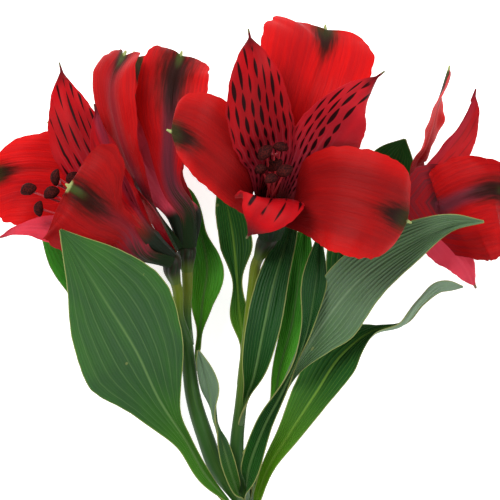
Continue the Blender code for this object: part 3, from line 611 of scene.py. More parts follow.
class Sketch:
    """Draws the nodes of a material or of a node group, one call for each step."""

    def __init__(self, tree: bpy.types.NodeTree) -> None:
        """Starts on a tree, which may already hold nodes."""
        self.tree = tree

    def node(self, kind: str, inputs: dict, **settings: object) -> bpy.types.Node:
        """Adds a node.

        Args:
            kind: the node's type name.
            inputs: sockets to link, or plain values to set, by input name or number.
            settings: properties of the node.

        Returns:
            The node.
        """
        node = self.tree.nodes.new(kind)
        for name, value in settings.items():
            setattr(node, name, value)
        for name, value in inputs.items():
            if isinstance(value, Socket):
                self.tree.links.new(value, node.inputs[name])
            else:
                node.inputs[name].default_value = value
        return node

    def math(self, operation: str, *values: object) -> Socket:
        """One Math node of the named operation."""
        return self.node("ShaderNodeMath", dict(enumerate(values)), operation=operation).outputs[0]

    def chain(self, operation: str, values: tuple[object, ...]) -> Socket:
        """The first value, taken on with each of the others in turn."""
        result = values[0]
        for value in values[1:]:
            result = self.math(operation, result, value)
        return result

    def times(self, *values: object) -> Socket:
        """The product of the values."""
        return self.chain("MULTIPLY", values)

    def plus(self, *values: object) -> Socket:
        """The sum of the values."""
        return self.chain("ADD", values)

    def minus(self, value: object, less: object) -> Socket:
        """The difference of two values."""
        return self.math("SUBTRACT", value, less)

    def amount(self, value: object) -> Socket:
        """The value without its sign."""
        return self.math("ABSOLUTE", value)

    def fade(self, value: object, low: object, high: object) -> Socket:
        """A smooth step from 0 at low to 1 at high. High may be under low."""
        sockets = {"Value": value, "From Min": low, "From Max": high}
        return self.node("ShaderNodeMapRange", sockets, interpolation_type="SMOOTHSTEP").outputs["Result"]

    def mix(self, share: object, first: object, second: object) -> Socket:
        """A color between two by share, which is held between 0 and 1."""
        colors = [(*color, 1) if isinstance(color, tuple) else color for color in (first, second)]
        inputs = dict(zip((0, 6, 7), (share, *colors)))
        return self.node("ShaderNodeMix", inputs, data_type="RGBA", clamp_factor=True).outputs[2]

    def trait(self, name: str) -> tuple[Socket, Socket, Socket]:
        """The three numbers of a piece's attribute."""
        read = self.node("ShaderNodeAttribute", {}, attribute_name=name)
        return tuple(self.node("ShaderNodeSeparateXYZ", {0: read.outputs["Vector"]}).outputs)

    def vector(self, x: object, y: object, z: object) -> Socket:
        """A vector from three values."""
        return self.node("ShaderNodeCombineXYZ", {0: x, 1: y, 2: z}).outputs[0]

    def noise(self, vector: Socket, scale: object, detail: float = 2.0, rough: float = 0.5) -> Socket:
        """Smooth noise from 0 to 1."""
        sockets = {"Vector": vector, "Scale": scale, "Detail": detail, "Roughness": rough}
        return self.node("ShaderNodeTexNoise", sockets).outputs[0]

    def dice(self, vector: Socket) -> bpy.types.bpy_prop_collection:
        """Random numbers that are the same wherever the vector is the same."""
        return self.node("ShaderNodeTexWhiteNoise", {"Vector": vector}, noise_dimensions="3D").outputs

    def group(self, tree: bpy.types.NodeTree, **inputs: object) -> bpy.types.bpy_prop_collection:
        """Places a node group and gives its outputs."""
        return self.node("ShaderNodeGroup", inputs, node_tree=tree).outputs


class GroupSketch(Sketch):
    """Draws a new node group. given holds its inputs, in their order."""

    def __init__(self, name: str, inputs: dict[str, float]) -> None:
        """Makes the group with its inputs and their defaults."""
        super().__init__(bpy.data.node_groups.new(name, "ShaderNodeTree"))
        for label, default in inputs.items():
            socket = self.tree.interface.new_socket(label, in_out="INPUT", socket_type="NodeSocketFloat")
            socket.default_value = default
        start = self.tree.nodes.new("NodeGroupInput")
        self.given = [start.outputs[label] for label in inputs]

    def give(self, **outputs: Socket) -> bpy.types.NodeTree:
        """Makes and links the group's outputs, and gives the group."""
        for label in outputs:
            self.tree.interface.new_socket(label, in_out="OUTPUT", socket_type="NodeSocketFloat")
        self.node("NodeGroupOutput", outputs)
        return self.tree


def vein_group() -> bpy.types.NodeTree:
    """Parallel veins: lines at equal shares across a blade, bent a little by noise.

    Line is 1 on a vein and falls off to 0 at Width, a share of the way to the next one. Height is
    a soft ridge over each vein.
    """
    names = {"Across": 0.0, "Along": 0.0, "Count": 6.0, "Width": 0.3, "Wander": 0.02, "Seed": 0.0}
    group = GroupSketch("Parallel veins", names)
    across, along, count, width, wander, seed = group.given
    bend = group.minus(group.noise(group.vector(across, along, seed), 5.0, 1.0), 0.5)
    place = group.times(group.plus(across, group.times(bend, wander)), count)
    off = group.amount(group.minus(place, group.math("ROUND", place)))
    line = group.fade(off, group.times(width, 0.5), 0.0)
    return group.give(Line=line, Height=group.fade(off, 0.5, 0.0))


def fibre_group() -> bpy.types.NodeTree:
    """Fine veins of uneven width and strength that fan out along a tepal.

    Fibres is noise over the fan share times Count, drawn out along the blade, with a finer and
    weaker noise added to it.
    """
    group = GroupSketch("Fan veins", {"Fan": 0.0, "Along": 0.0, "Count": 16.0, "Seed": 0.0})
    fan, along, count, seed = group.given
    across = group.times(fan, count)
    coarse = group.noise(group.vector(across, group.times(along, 1.6), seed), 1.0, 1.0)
    fine = group.noise(group.vector(across, group.times(along, 4.0), seed), 2.7, 1.0)
    both = group.plus(group.times(coarse, 0.6), group.times(fine, 0.4))
    return group.give(Fibres=group.fade(both, 0.36, 0.64))


def mottle_group() -> bpy.types.NodeTree:
    """Soft mottle: slow patches drawn out along the blade, with a fine cell grain on them."""
    names = {"Across": 0.0, "Along": 0.0, "Seed": 0.0, "Stretch": 0.25, "Size": 0.12}
    group = GroupSketch("Soft mottle", names)
    across, along, seed, stretch, size = group.given
    slow = group.noise(group.vector(across, group.times(along, stretch), seed), size, 3.0)
    cells = group.noise(group.vector(across, along, seed), 3.2, 2.0, 0.6)
    return group.give(Patches=group.fade(slow, 0.32, 0.68), Cells=cells)


def stain_group() -> bpy.types.NodeTree:
    """Tip stain: a soft patch near the tip, and a band that runs from it down the midrib.

    Patch is one less a smooth step of the distance from the patch's middle, measured in its half
    width and half length. Band fades away from the midrib and away from the tip. Both edges are
    feathered by noise drawn out along the blade.
    """
    names = {"Across": 0.0, "Tip": 0.0, "Size": 1.0, "Seed": 0.0}
    shape = {"Half width": 3.9, "Half length": 7.5, "Reach": 34.0, "Band half width": 2.2}
    group = GroupSketch("Tip stain", {**names, **shape})
    across, tip, size, seed, half_width, half_length, reach, band_width = group.given
    place = group.vector(group.times(across, 1.3), group.times(tip, 0.16), seed)
    rag = group.times(group.minus(group.noise(place, 1.0, 3.0), 0.5), 0.9)
    long = group.times(half_length, size)
    x = group.math("DIVIDE", across, group.times(half_width, size))
    y = group.math("DIVIDE", group.minus(tip, group.times(long, 0.75)), long)
    far = group.math("SQRT", group.plus(group.times(x, x), group.times(y, y)))
    patch = group.fade(group.plus(far, rag), 1.25, 0.25)
    off = group.plus(group.amount(across), group.times(rag, 1.5))
    beside = group.fade(off, band_width, group.times(band_width, 0.1))
    below = group.fade(tip, reach, group.times(reach, 0.15))
    return group.give(Patch=patch, Band=group.times(beside, below))


def dash_group() -> bpy.types.NodeTree:
    """Dark dashes in rows that fan out along a tepal.

    The row is the nearest whole number to the fan share times Rows. Along a row the dashes sit
    one to each unit of Run, shifted by a number of the row's own. A dash's half width is Width
    times one less the square of the share of its length, so that it tapers to both ends. A
    dash's own random numbers change its length and width and leave some out.
    """
    names = {"Fan": 0.0, "Run": 0.0, "Rows": 3.5, "Width": 0.22, "Length": 0.38, "Absent": 0.1}
    group = GroupSketch("Dashes", names)
    fan, run, rows, width, length, absent = group.given
    place = group.times(fan, rows)
    row = group.math("ROUND", place)
    off = group.amount(group.minus(place, row))
    run = group.plus(run, group.dice(group.vector(row, 0.5, 3.5))["Value"])
    cell = group.math("FLOOR", run)
    dice = group.dice(group.vector(row, cell, 1.5))["Color"]
    first, second, third = group.node("ShaderNodeSeparateXYZ", {0: dice}).outputs
    reach = group.times(length, group.plus(group.times(first, 0.4), 0.8))
    x = group.math("DIVIDE", group.minus(group.minus(run, cell), 0.5), reach)
    lens = group.minus(1.0, group.times(x, x))
    half = group.times(width, group.plus(group.times(second, 0.6), 0.7), lens)
    mask = group.fade(group.minus(half, off), -0.02, 0.07)
    return group.give(Mask=group.times(mask, group.math("GREATER_THAN", third, absent)))


@dataclass
class Effects:
    """The node groups that more than one finish uses, each built once."""

    veins: bpy.types.NodeTree = field(default_factory=vein_group)
    mottle: bpy.types.NodeTree = field(default_factory=mottle_group)
    stain: bpy.types.NodeTree = field(default_factory=stain_group)
    dashes: bpy.types.NodeTree = field(default_factory=dash_group)
    fibres: bpy.types.NodeTree = field(default_factory=fibre_group)


@dataclass(frozen=True)
class Tissue:
    """What is the same all over a finish.

    The roughness is rough plus grain times the finish's fine noise, bump is the depth of its
    relief in millimetres, gloss the reflection seen from straight above, through the share of
    light that goes in, tint how far each of its colors gets and reach that depth in millimetres.
    """

    rough: float
    grain: float
    bump: float
    gloss: float = 0.5
    through: float = 0.0
    tint: Triple = (1.0, 0.2, 0.1)
    reach: float = 1.0


class Material(Sketch):
    """Draws a new material round its Principled BSDF."""

    def __init__(self, name: str) -> None:
        """Makes the material."""
        self.material = bpy.data.materials.new(name)
        self.material.use_nodes = True
        super().__init__(self.material.node_tree)
        self.shader = self.tree.nodes["Principled BSDF"]

    def set(self, values: dict[str, object]) -> None:
        """Sets the shader's uniform values."""
        for name, value in values.items():
            self.shader.inputs[name].default_value = value

    def finish(self, color: Socket, noise: Socket, height: Socket, tissue: Tissue) -> bpy.types.Material:
        """Links what changes over the surface, and sets what does not.

        Args:
            color: the color.
            noise: the fine noise that changes the roughness.
            height: the relief, from 0 to about 1.
            tissue: the uniform values.

        Returns:
            The material.
        """
        relief = {"Height": height, "Distance": tissue.bump * MM, "Strength": 1.0}
        bump = self.node("ShaderNodeBump", relief)
        rough = self.plus(self.times(noise, tissue.grain), tissue.rough)
        for name, socket in (("Base Color", color), ("Roughness", rough), ("Normal", bump.outputs[0])):
            self.tree.links.new(socket, self.shader.inputs[name])
        self.set(
            {
                "Specular IOR Level": tissue.gloss,
                "Subsurface Weight": tissue.through,
                "Subsurface Radius": tissue.tint,
                "Subsurface Scale": tissue.reach * MM,
            }
        )
        return self.material


class Paint:
    """A color on a sketch that other colors are laid over, one call for each."""

    def __init__(self, sketch: Sketch, ground: object) -> None:
        """Starts on a ground color."""
        self.sketch = sketch
        self.color = ground

    def lay(self, color: object, *shares: object) -> None:
        """Lays a color over by the product of the shares."""
        self.color = self.sketch.mix(self.sketch.times(*shares), self.color, color)


class BladeMaterial(Material):
    """Draws a blade's material from what its attributes say at a point.

    share runs from -1 to 1 across and t from 0 to 1 along, and face is 1 on the face, 0 on the
    back. across and off, its amount, are measured in millimetres from the midrib, tip from the
    tip and margin from the margin. fan and run place the veins and the dashes, which stop at
    edge. size, strength and tone are the piece's look; tone is a painted light level, which lays
    painted shade under 1 and painted light over 1.
    """

    def __init__(self, name: str, effects: Effects) -> None:
        """Makes the material and reads the attributes."""
        super().__init__(name)
        self.effects = effects
        self.share, self.t, self.face = self.trait("blade")
        self.across, self.tip, self.margin = self.trait("measure")
        self.fan, self.run, self.edge = self.trait("fan")
        self.size, self.strength, self.tone = self.trait("look")
        self.off = self.amount(self.across)

    def mottle(self, **inputs: float) -> bpy.types.bpy_prop_collection:
        """The soft mottle."""
        return self.group(self.effects.mottle, Across=self.across, Along=self.tip, **inputs)

    def stain(self, **inputs: float) -> bpy.types.bpy_prop_collection:
        """The tip stain."""
        return self.group(self.effects.stain, Across=self.across, Tip=self.tip, Size=self.size, **inputs)

    def fibres(self, **inputs: float) -> Socket:
        """The fine fan veins."""
        return self.group(self.effects.fibres, Fan=self.fan, Along=self.t, **inputs)["Fibres"]

    def veins(self, across: Socket, **inputs: float) -> bpy.types.bpy_prop_collection:
        """Parallel veins."""
        return self.group(self.effects.veins, Across=across, Along=self.t, **inputs)


class RoundMaterial(Material):
    """Draws a tube's material. It reads the angle round the tube, so that it has no seam.

    x and y are the cosine and sine of that angle and run the way along in millimetres. t is the
    share of the length, reach that of the radius, and rise 1 on stalks that carry a bloom.
    """

    def __init__(self, name: str) -> None:
        """Makes the material and reads the attributes."""
        super().__init__(name)
        self.x, self.y, self.run = self.trait("grain")
        self.t, self.reach, self.rise = self.trait("place")

    def lines(self, stretch: float, scale: float, detail: float = 3.0, rough: float = 0.6) -> Socket:
        """Noise round the tube, drawn out along it: the less the stretch, the longer."""
        place = self.vector(self.x, self.y, self.times(self.run, stretch))
        return self.noise(place, scale, detail, rough)


# Finishes

# The two numbers of a fade are where a layer begins and where it is full: shares of the length for
# t, and millimetres for tip, off and margin. A plain number after them is the layer's strength.
PETAL_TISSUE = Tissue(0.44, grain=0.16, bump=0.05, gloss=0.05, through=0.12, tint=(1.0, 0.05, 0.05))
LEAF_TISSUE = Tissue(
    0.36, grain=0.2, bump=0.07, gloss=0.09, through=0.10, tint=(0.4, 1.0, 0.1), reach=0.8
)


@dataclass(frozen=True)
class OuterTepalFinish:
    """Plain red outer tepals: a dark stain at the tip, and a purple midrib band on the back.

    The piece's look attribute holds the size of the stain, the strength of the back's band, and
    a painted light level: under 1 it lays painted shade over the red.
    """

    name: str = "Outer tepal"
    bright: Triple = (0.53, 0.0040, 0.0040)
    deep: Triple = (0.31, 0.0030, 0.0042)
    throat: Triple = (0.16, 0.0030, 0.0080)
    # A paler margin: partly the thin edge's own colour, partly painted light.
    margin: Triple = (0.60, 0.0070, 0.0060)
    shade: Triple = (0.085, 0.0035, 0.0035)
    stain: Triple = (0.0100, 0.0035, 0.0018)
    stain_green: Triple = (0.022, 0.028, 0.006)
    point: Triple = (0.26, 0.30, 0.11)
    back_band: Triple = (0.095, 0.018, 0.030)
    back_green: Triple = (0.035, 0.060, 0.012)
    back_foot: Triple = (0.006, 0.015, 0.004)
    tissue: Tissue = PETAL_TISSUE

    def face_color(self, petal: BladeMaterial) -> Socket:
        """The color of the side that faces into the bloom."""
        stain = petal.stain()
        paint = Paint(petal, self.bright)
        paint.lay(self.deep, petal.mottle(Stretch=0.2)["Patches"], 0.7)
        # Darker towards the claw: partly the claw's own colour, partly painted shade deep in the throat.
        paint.lay(self.throat, petal.fade(petal.t, 0.52, 0.16), 0.85)
        paint.lay(self.throat, petal.fibres(), 0.30)
        # Painted shade: the red darkens where the piece's painted light level is under 1.
        paint.lay(self.shade, petal.minus(1.0, petal.tone))
        # The rim, partly the margin's own paler red and partly painted light on the edges, goes on after
        # the painted shade so that it stays bright.
        rim = petal.fade(petal.amount(petal.share), 0.5, 1.0)
        paint.lay(self.margin, rim, petal.fade(petal.t, 0.3, 0.6), 0.4)
        paint.lay(self.shade, stain["Band"], 0.55)
        paint.lay(self.stain, stain["Patch"], 0.96)
        paint.lay(self.stain_green, petal.fade(petal.tip, 9.0, 2.0), stain["Patch"], 0.75)
        return paint.color

    def back_color(self, petal: BladeMaterial) -> Socket:
        """The color of the outside."""
        stain = petal.stain(Seed=4.0)
        fibres = petal.fibres(Seed=9.0)
        paint = Paint(petal, self.bright)
        paint.lay(self.deep, petal.mottle(Stretch=0.15, Seed=7.0)["Patches"], 0.8)
        paint.lay(self.throat, fibres, 0.35)
        # Painted shade on the back, by the same painted light level.
        paint.lay(self.shade, petal.minus(1.0, petal.tone))
        wide = petal.fade(petal.off, 3.4, 0.7)
        paint.lay(self.back_band, wide, petal.fade(petal.tip, 0.0, 14.0), petal.strength)
        paint.lay(self.stain, stain["Band"], petal.strength, 0.7)
        paint.lay(self.stain, stain["Patch"], 0.92)
        paint.lay(self.back_green, petal.fade(petal.off, 1.7, 0.5), petal.fade(petal.tip, 9.0, 3.5), 0.75)
        foot = petal.plus(petal.t, petal.times(petal.amount(petal.share), 0.08))
        foot = petal.minus(foot, petal.times(petal.minus(fibres, 0.5), 0.12))
        paint.lay(self.back_band, petal.fade(foot, 0.52, 0.24), 0.75)
        paint.lay(self.back_foot, petal.fade(foot, 0.36, 0.16))
        return paint.color

    def build(self, effects: Effects) -> bpy.types.Material:
        """The material, with both sides' colors and the little point that ends the tepal."""
        petal = BladeMaterial(self.name, effects)
        paint = Paint(petal, self.back_color(petal))
        paint.lay(self.face_color(petal), petal.face)
        paint.lay(self.point, petal.fade(petal.tip, 2.6, 1.6), petal.fade(petal.off, 2.4, 1.2))
        cells = petal.mottle()["Cells"]
        height = petal.plus(petal.fibres(), petal.times(cells, 0.8))
        return petal.finish(paint.color, cells, height, self.tissue)


@dataclass(frozen=True)
class InnerTepalFinish:
    """Narrow inner tepals: red over crimson, with dark dashes along their veins.

    The dashes stand in rows, as wide and long as shares of their spacing, between the shares
    start and stop of the length. absent is the share of them that is left out.
    """

    name: str
    rows: float = 4.3
    width: float = 0.235
    length: float = 0.50
    absent: float = 0.06
    start: float = 0.20
    stop: float = 0.93
    foot_end: float = 0.38
    bright: Triple = (0.37, 0.0035, 0.0060)
    deep: Triple = (0.22, 0.0030, 0.0055)
    flush: Triple = (0.25, 0.0150, 0.0290)
    vein: Triple = (0.42, 0.09, 0.12)
    # Painted light: the pink of a lit tepal, laid where the painted light level is over 1.
    lit: Triple = (0.62, 0.055, 0.095)
    throat: Triple = (0.055, 0.0160, 0.0070)
    streak: Triple = (0.0070, 0.0006, 0.0010)
    tip: Triple = (0.050, 0.0030, 0.0050)
    point: Triple = (0.13, 0.12, 0.06)
    back_band: Triple = (0.11, 0.012, 0.026)
    back_foot: Triple = (0.007, 0.011, 0.006)
    tissue: Tissue = replace(PETAL_TISSUE, bump=0.035)

    def streaks(self, petal: BladeMaterial) -> Socket:
        """The mask of the dashes, kept off the margin, the throat, the tip and a fold."""
        shape = {"Rows": self.rows, "Width": self.width, "Length": self.length, "Absent": self.absent}
        dashes = petal.group(petal.effects.dashes, Fan=petal.fan, Run=petal.run, **shape)
        return petal.times(
            dashes["Mask"],
            petal.fade(petal.t, self.start, self.start + 0.02),
            petal.fade(petal.t, self.stop, self.stop - 0.02),
            petal.fade(petal.margin, 0.35, 0.8),
            petal.fade(petal.fan, petal.edge, petal.minus(petal.edge, 0.04)),
        )

    def face_color(self, petal: BladeMaterial, patches: Socket, veins: Socket, streaks: Socket) -> Socket:
        """The color of the side that faces into the bloom.

        Args:
            petal: the material's own nodes.
            patches: where the deep red shows.
            veins: the mask of the pale veins.
            streaks: the mask of the dashes.

        Returns:
            The color.
        """
        paint = Paint(petal, self.bright)
        paint.lay(self.deep, patches)
        paint.lay(self.flush, petal.fade(petal.t, 0.66, 0.30), 0.85)
        paint.lay(self.vein, veins, petal.fade(petal.t, 0.7, 0.3), 0.35)
        paint.lay(self.throat, petal.fade(petal.t, 0.30, 0.14))
        # Painted shade in the tip colour under a painted light level of 1, and painted light in the lit
        # pink over it.
        paint.lay(self.tip, petal.minus(1.0, petal.tone))
        paint.lay(self.lit, petal.minus(petal.tone, 1.0))
        paint.lay(self.streak, streaks, 0.98)
        paint.lay(self.tip, petal.fade(petal.tip, 10.0, 3.0), petal.strength, 1.13)
        paint.lay(self.point, petal.fade(petal.tip, 1.9, 0.8))
        return paint.color

    def back_color(self, petal: BladeMaterial, patches: Socket, streaks: Socket) -> Socket:
        """The color of the outside, from the same masks."""
        paint = Paint(petal, self.deep)
        paint.lay(self.bright, patches)
        # Painted light: the lit pink, where the painted light level is over 1.
        paint.lay(self.lit, petal.minus(petal.tone, 1.0))
        paint.lay(self.tip, streaks, 0.35)
        paint.lay(self.back_band, petal.fade(petal.off, 2.4, 0.5), petal.strength, 0.87)
        paint.lay(self.back_foot, petal.fade(petal.t, self.foot_end, 0.16))
        paint.lay(self.tip, petal.fade(petal.tip, 6.0, 1.5), petal.strength, 1.06)
        return paint.color

    def build(self, effects: Effects) -> bpy.types.Material:
        """The material, with both sides' colors. Pale veins run between the rows of dashes."""
        petal = BladeMaterial(self.name, effects)
        mottle = petal.mottle(Seed=3.0)
        between = petal.plus(petal.fan, 0.5 / self.rows)
        veins = petal.veins(between, Count=self.rows, Width=0.30, Wander=0.0)
        streaks = self.streaks(petal)
        back = self.back_color(petal, mottle["Patches"], streaks)
        face = self.face_color(petal, mottle["Patches"], veins["Line"], streaks)
        height = petal.plus(veins["Height"], petal.times(mottle["Cells"], 0.8))
        return petal.finish(petal.mix(petal.face, back, face), mottle["Cells"], height, self.tissue)


class StreakStyle(Enum):
    """How an inner tepal is marked."""

    FULL = InnerTepalFinish("Inner tepal streaked")
    DASHES = InnerTepalFinish(
        "Inner tepal dashed", rows=2.3, width=0.13, absent=0.0, start=0.50, stop=0.80
    )
    LONG = InnerTepalFinish("Inner tepal lined", rows=4.4, width=0.18, length=0.47)
    PLAIN = InnerTepalFinish("Inner tepal plain", absent=1.1, foot_end=0.24)


@dataclass(frozen=True)
class LeafFinish:
    """A leaf's greens: its own green, a glow at the foot, a grey bloom, pale veins and margin."""

    name: str
    green: Triple = (0.024, 0.090, 0.010)
    dark: Triple = (0.010, 0.050, 0.006)
    grey: Triple = (0.062, 0.112, 0.062)
    glow: Triple = (0.050, 0.180, 0.005)
    back: Triple = (0.130, 0.185, 0.125)
    vein: Triple = (0.100, 0.180, 0.055)
    margin: Triple = (0.24, 0.25, 0.08)
    back_share: float = 0.6
    grey_share: float = 0.3
    glow_share: float = 0.5
    glow_reach: float = 0.45
    vein_share: float = 0.35
    pleats: float = 6.0
    fine_veins: float = 3.7
    tissue: Tissue = LEAF_TISSUE

    def build(self, effects: Effects) -> bpy.types.Material:
        """The material of both faces; the back is paler and greyer."""
        leaf = BladeMaterial(self.name, effects)
        seed = float(phases(self.name, 1)[0] * 50)
        mottle = leaf.mottle(Seed=seed, Stretch=0.3, Size=0.10)
        main = leaf.veins(leaf.share, Count=self.pleats, Width=0.16, Wander=0.02)
        fine_count = self.fine_veins * self.pleats
        fine = leaf.veins(leaf.share, Count=fine_count, Width=0.5, Wander=0.03, Seed=2.0)
        freckle = leaf.noise(leaf.vector(leaf.across, leaf.tip, seed), 0.33, 0.0)
        uneven = leaf.plus(leaf.times(mottle["Patches"], 0.5), 0.5)
        paint = Paint(leaf, self.green)
        paint.lay(self.dark, mottle["Patches"])
        paint.lay(self.grey, leaf.fade(leaf.t, 0.2, 0.7), uneven, self.grey_share)
        paint.lay(self.glow, leaf.fade(leaf.t, self.glow_reach, 0.05), self.glow_share)
        paint.lay(self.back, leaf.minus(1.0, leaf.face), self.back_share)
        paint.lay(self.dark, fine["Line"], 0.35)
        paint.lay(self.vein, main["Line"], self.vein_share)
        paint.lay(self.vein, leaf.fade(leaf.off, 0.55, 0.15), leaf.fade(leaf.t, 1.0, 0.5), 0.6)
        paint.lay(self.margin, leaf.fade(leaf.margin, 0.34, 0.14), 0.8)
        paint.lay(self.margin, leaf.fade(freckle, 0.84, 0.88), 0.4)
        ribs = leaf.plus(leaf.times(main["Height"], 0.9), leaf.times(fine["Height"], 0.5))
        height = leaf.plus(ribs, leaf.times(mottle["Cells"], 0.5))
        return leaf.finish(paint.color, mottle["Cells"], height, self.tissue)


class LeafTone(Enum):
    """The leaves' finishes."""

    GREY = LeafFinish("Leaf grey", glow_share=0.6, glow_reach=0.5, pleats=5.0)
    RIBBED = LeafFinish(
        "Leaf ribbed",
        green=(0.050, 0.118, 0.036),
        grey=(0.135, 0.205, 0.120),
        vein=(0.165, 0.240, 0.135),
        grey_share=0.8,
        glow_share=0.2,
        glow_reach=0.4,
        vein_share=0.75,
        pleats=7.5,
    )
    DARK = LeafFinish(
        "Leaf dark",
        green=(0.006, 0.052, 0.007),
        dark=(0.002, 0.026, 0.003),
        grey_share=0.10,
        glow_share=0.12,
        tissue=replace(LEAF_TISSUE, rough=0.28),
    )
    # Fresh green, with its greens raised to stand in for light on leaves that lie in shade: partly its own
    # colour, partly painted light.
    FRESH_PAINTED_LIGHT = LeafFinish(
        "Leaf fresh",
        green=(0.046, 0.270, 0.018),
        dark=(0.026, 0.165, 0.011),
        glow=(0.095, 0.340, 0.012),
        grey_share=0.04,
        glow_share=0.8,
        glow_reach=0.75,
    )
    BRIGHT = LeafFinish(
        "Leaf bright",
        green=(0.011, 0.072, 0.008),
        dark=(0.006, 0.044, 0.004),
        glow=(0.085, 0.235, 0.004),
        back=(0.240, 0.330, 0.230),
        vein=(0.140, 0.260, 0.030),
        back_share=0.9,
        grey_share=0.04,
        glow_share=1.0,
        glow_reach=0.54,
    )
    PALE = LeafFinish("Leaf pale", green=(0.042, 0.105, 0.030), grey_share=0.6)


@dataclass(frozen=True)
class StalkFinish:
    """Green stalks with fine lines along them, browner towards a bloom."""

    name: str = "Stalk"
    green: Triple = (0.007, 0.052, 0.010)
    olive: Triple = (0.095, 0.135, 0.006)
    pale: Triple = (0.090, 0.180, 0.035)
    blush: Triple = (0.080, 0.070, 0.010)
    tissue: Tissue = Tissue(
        0.32, grain=0.25, bump=0.10, gloss=0.16, through=0.08, tint=(0.4, 1.0, 0.15), reach=1.5
    )

    def build(self) -> bpy.types.Material:
        """The material."""
        stalk = RoundMaterial(self.name)
        lines = stalk.lines(0.012, 4.5)
        slow = stalk.lines(0.05, 1.1, 2.0, 0.5)
        ripe = stalk.times(stalk.fade(stalk.t, 0.25, 0.8), stalk.rise, 0.85)
        paint = Paint(stalk, self.green)
        paint.lay(self.olive, stalk.plus(stalk.times(slow, 0.3), ripe))
        paint.lay(self.pale, stalk.fade(lines, 0.52, 0.74), 0.25)
        paint.lay(self.blush, stalk.fade(stalk.t, 0.80, 1.0), stalk.rise, 0.35)
        return stalk.finish(paint.color, lines, lines, self.tissue)


@dataclass(frozen=True)
class CutEndFinish:
    """The cut face: a pale pith inside a green rind, with a ring of darker dots."""

    name: str = "Cut end"
    pith: Triple = (0.36, 0.42, 0.20)
    rind: Triple = (0.10, 0.19, 0.04)
    tissue: Tissue = Tissue(0.35, grain=0.3, bump=0.12)

    def build(self) -> bpy.types.Material:
        """The material. It reads how far out a point of the cut is."""
        cut = RoundMaterial(self.name)
        place = cut.vector(cut.times(cut.x, cut.reach), cut.times(cut.y, cut.reach), 0.0)
        fibres = cut.noise(place, 9.0, 3.0, 0.7)
        paint = Paint(cut, self.pith)
        paint.lay(self.rind, cut.fade(cut.reach, 0.72, 0.92))
        paint.lay(self.rind, cut.fade(fibres, 0.55, 0.65), cut.fade(cut.reach, 0.2, 0.6), 0.5)
        return cut.finish(paint.color, fibres, fibres, self.tissue)


@dataclass(frozen=True)
class OvaryFinish:
    """Ribbed green-black ovaries with a purple cast, greener at the foot."""

    name: str = "Ovary"
    dark: Triple = (0.005, 0.014, 0.003)
    purple: Triple = (0.014, 0.007, 0.004)
    green: Triple = (0.055, 0.095, 0.008)
    tissue: Tissue = Tissue(0.28, grain=0.2, bump=0.10, gloss=0.12)

    def build(self) -> bpy.types.Material:
        """The material."""
        ovary = RoundMaterial(self.name)
        lines = ovary.lines(0.1, 3.0)
        paint = Paint(ovary, self.dark)
        paint.lay(self.purple, ovary.fade(lines, 0.35, 0.65))
        paint.lay(self.green, ovary.fade(ovary.t, 0.60, 0.0), 0.9)
        return ovary.finish(paint.color, lines, lines, self.tissue)


@dataclass(frozen=True)
class FilamentFinish:
    """Filaments and the style: red, pinker towards the anther."""

    name: str = "Filament"
    low: Triple = (0.20, 0.010, 0.012)
    high: Triple = (0.42, 0.030, 0.040)
    tissue: Tissue = Tissue(0.3, grain=0.2, bump=0.05, through=0.15, tint=(1.0, 0.15, 0.12), reach=0.8)

    def build(self) -> bpy.types.Material:
        """The material."""
        filament = RoundMaterial(self.name)
        lines = filament.lines(0.3, 2.5, 2.0, 0.5)
        paint = Paint(filament, self.low)
        paint.lay(self.high, filament.t)
        paint.lay(self.low, lines, 0.4)
        return filament.finish(paint.color, lines, lines, self.tissue)


@dataclass(frozen=True)
class AntherFinish:
    """Anthers: black-brown with a dusting of paler pollen on a grainy surface."""

    name: str = "Anther"
    dark: Triple = (0.012, 0.0022, 0.0024)
    brown: Triple = (0.070, 0.0065, 0.0050)
    tissue: Tissue = Tissue(0.62, grain=0.2, bump=0.22, gloss=0.06)

    def build(self) -> bpy.types.Material:
        """The material."""
        anther = RoundMaterial(self.name)
        grains = anther.lines(1.0, 3.5, 3.0, 0.7)
        paint = Paint(anther, self.dark)
        paint.lay(self.brown, anther.fade(grains, 0.40, 0.66))
        return anther.finish(paint.color, grains, grains, self.tissue)


@dataclass
class Finishes:
    """Every material of the plant, built once."""

    effects: Effects = field(default_factory=Effects)
    made: dict[str, bpy.types.Material] = field(default_factory=dict)

    def __post_init__(self) -> None:
        """Builds the materials, each under its finish's name."""
        kinds = [kind.value for kind in (*StreakStyle, *LeafTone)]
        for finish in (OuterTepalFinish(), *kinds):
            self.made[finish.name] = finish.build(self.effects)
        for finish in (StalkFinish(), CutEndFinish(), OvaryFinish(), FilamentFinish(), AntherFinish()):
            self.made[finish.name] = finish.build()


# The blooms


@dataclass(frozen=True)
class Ring:
    """What the three tepals of a ring share.

    A tepal starts seat_radius from the axis and seat_height over the ovary's top, with neck for
    its half width, and in the throat it stands further out than its own radius by spread.
    """

    slot: str
    seat_radius: float
    seat_height: float
    spread: float
    neck: float
    relief: Relief


OUTER_RELIEF = Relief(
    ruffle=0.65, waves=3.1, scallop=0.030, roll=0.5, groove=0.16, keel_rib=0.35,
    tip_length=0.035, tip_half_width=0.95,
)
INNER_RELIEF = Relief(
    ruffle=0.40, waves=3.0, scallop=0.028, roll=0.25, groove=0.14, keel_rib=0.3,
    tip_length=0.03, tip_half_width=0.6,
)
OUTER = Ring("outer_tepals", seat_radius=3.1, seat_height=-1.1, spread=0.9, neck=3.1, relief=OUTER_RELIEF)
INNER = Ring("inner_tepals", seat_radius=2.6, seat_height=-0.2, spread=0.0, neck=2.7, relief=INNER_RELIEF)
THROAT_HEIGHT = 9.0
CLAW_CURL = 55
# How far a tepal's face turns to the axis on its seat and in the throat
CLAW_LEANS = (0.15, 0.35)


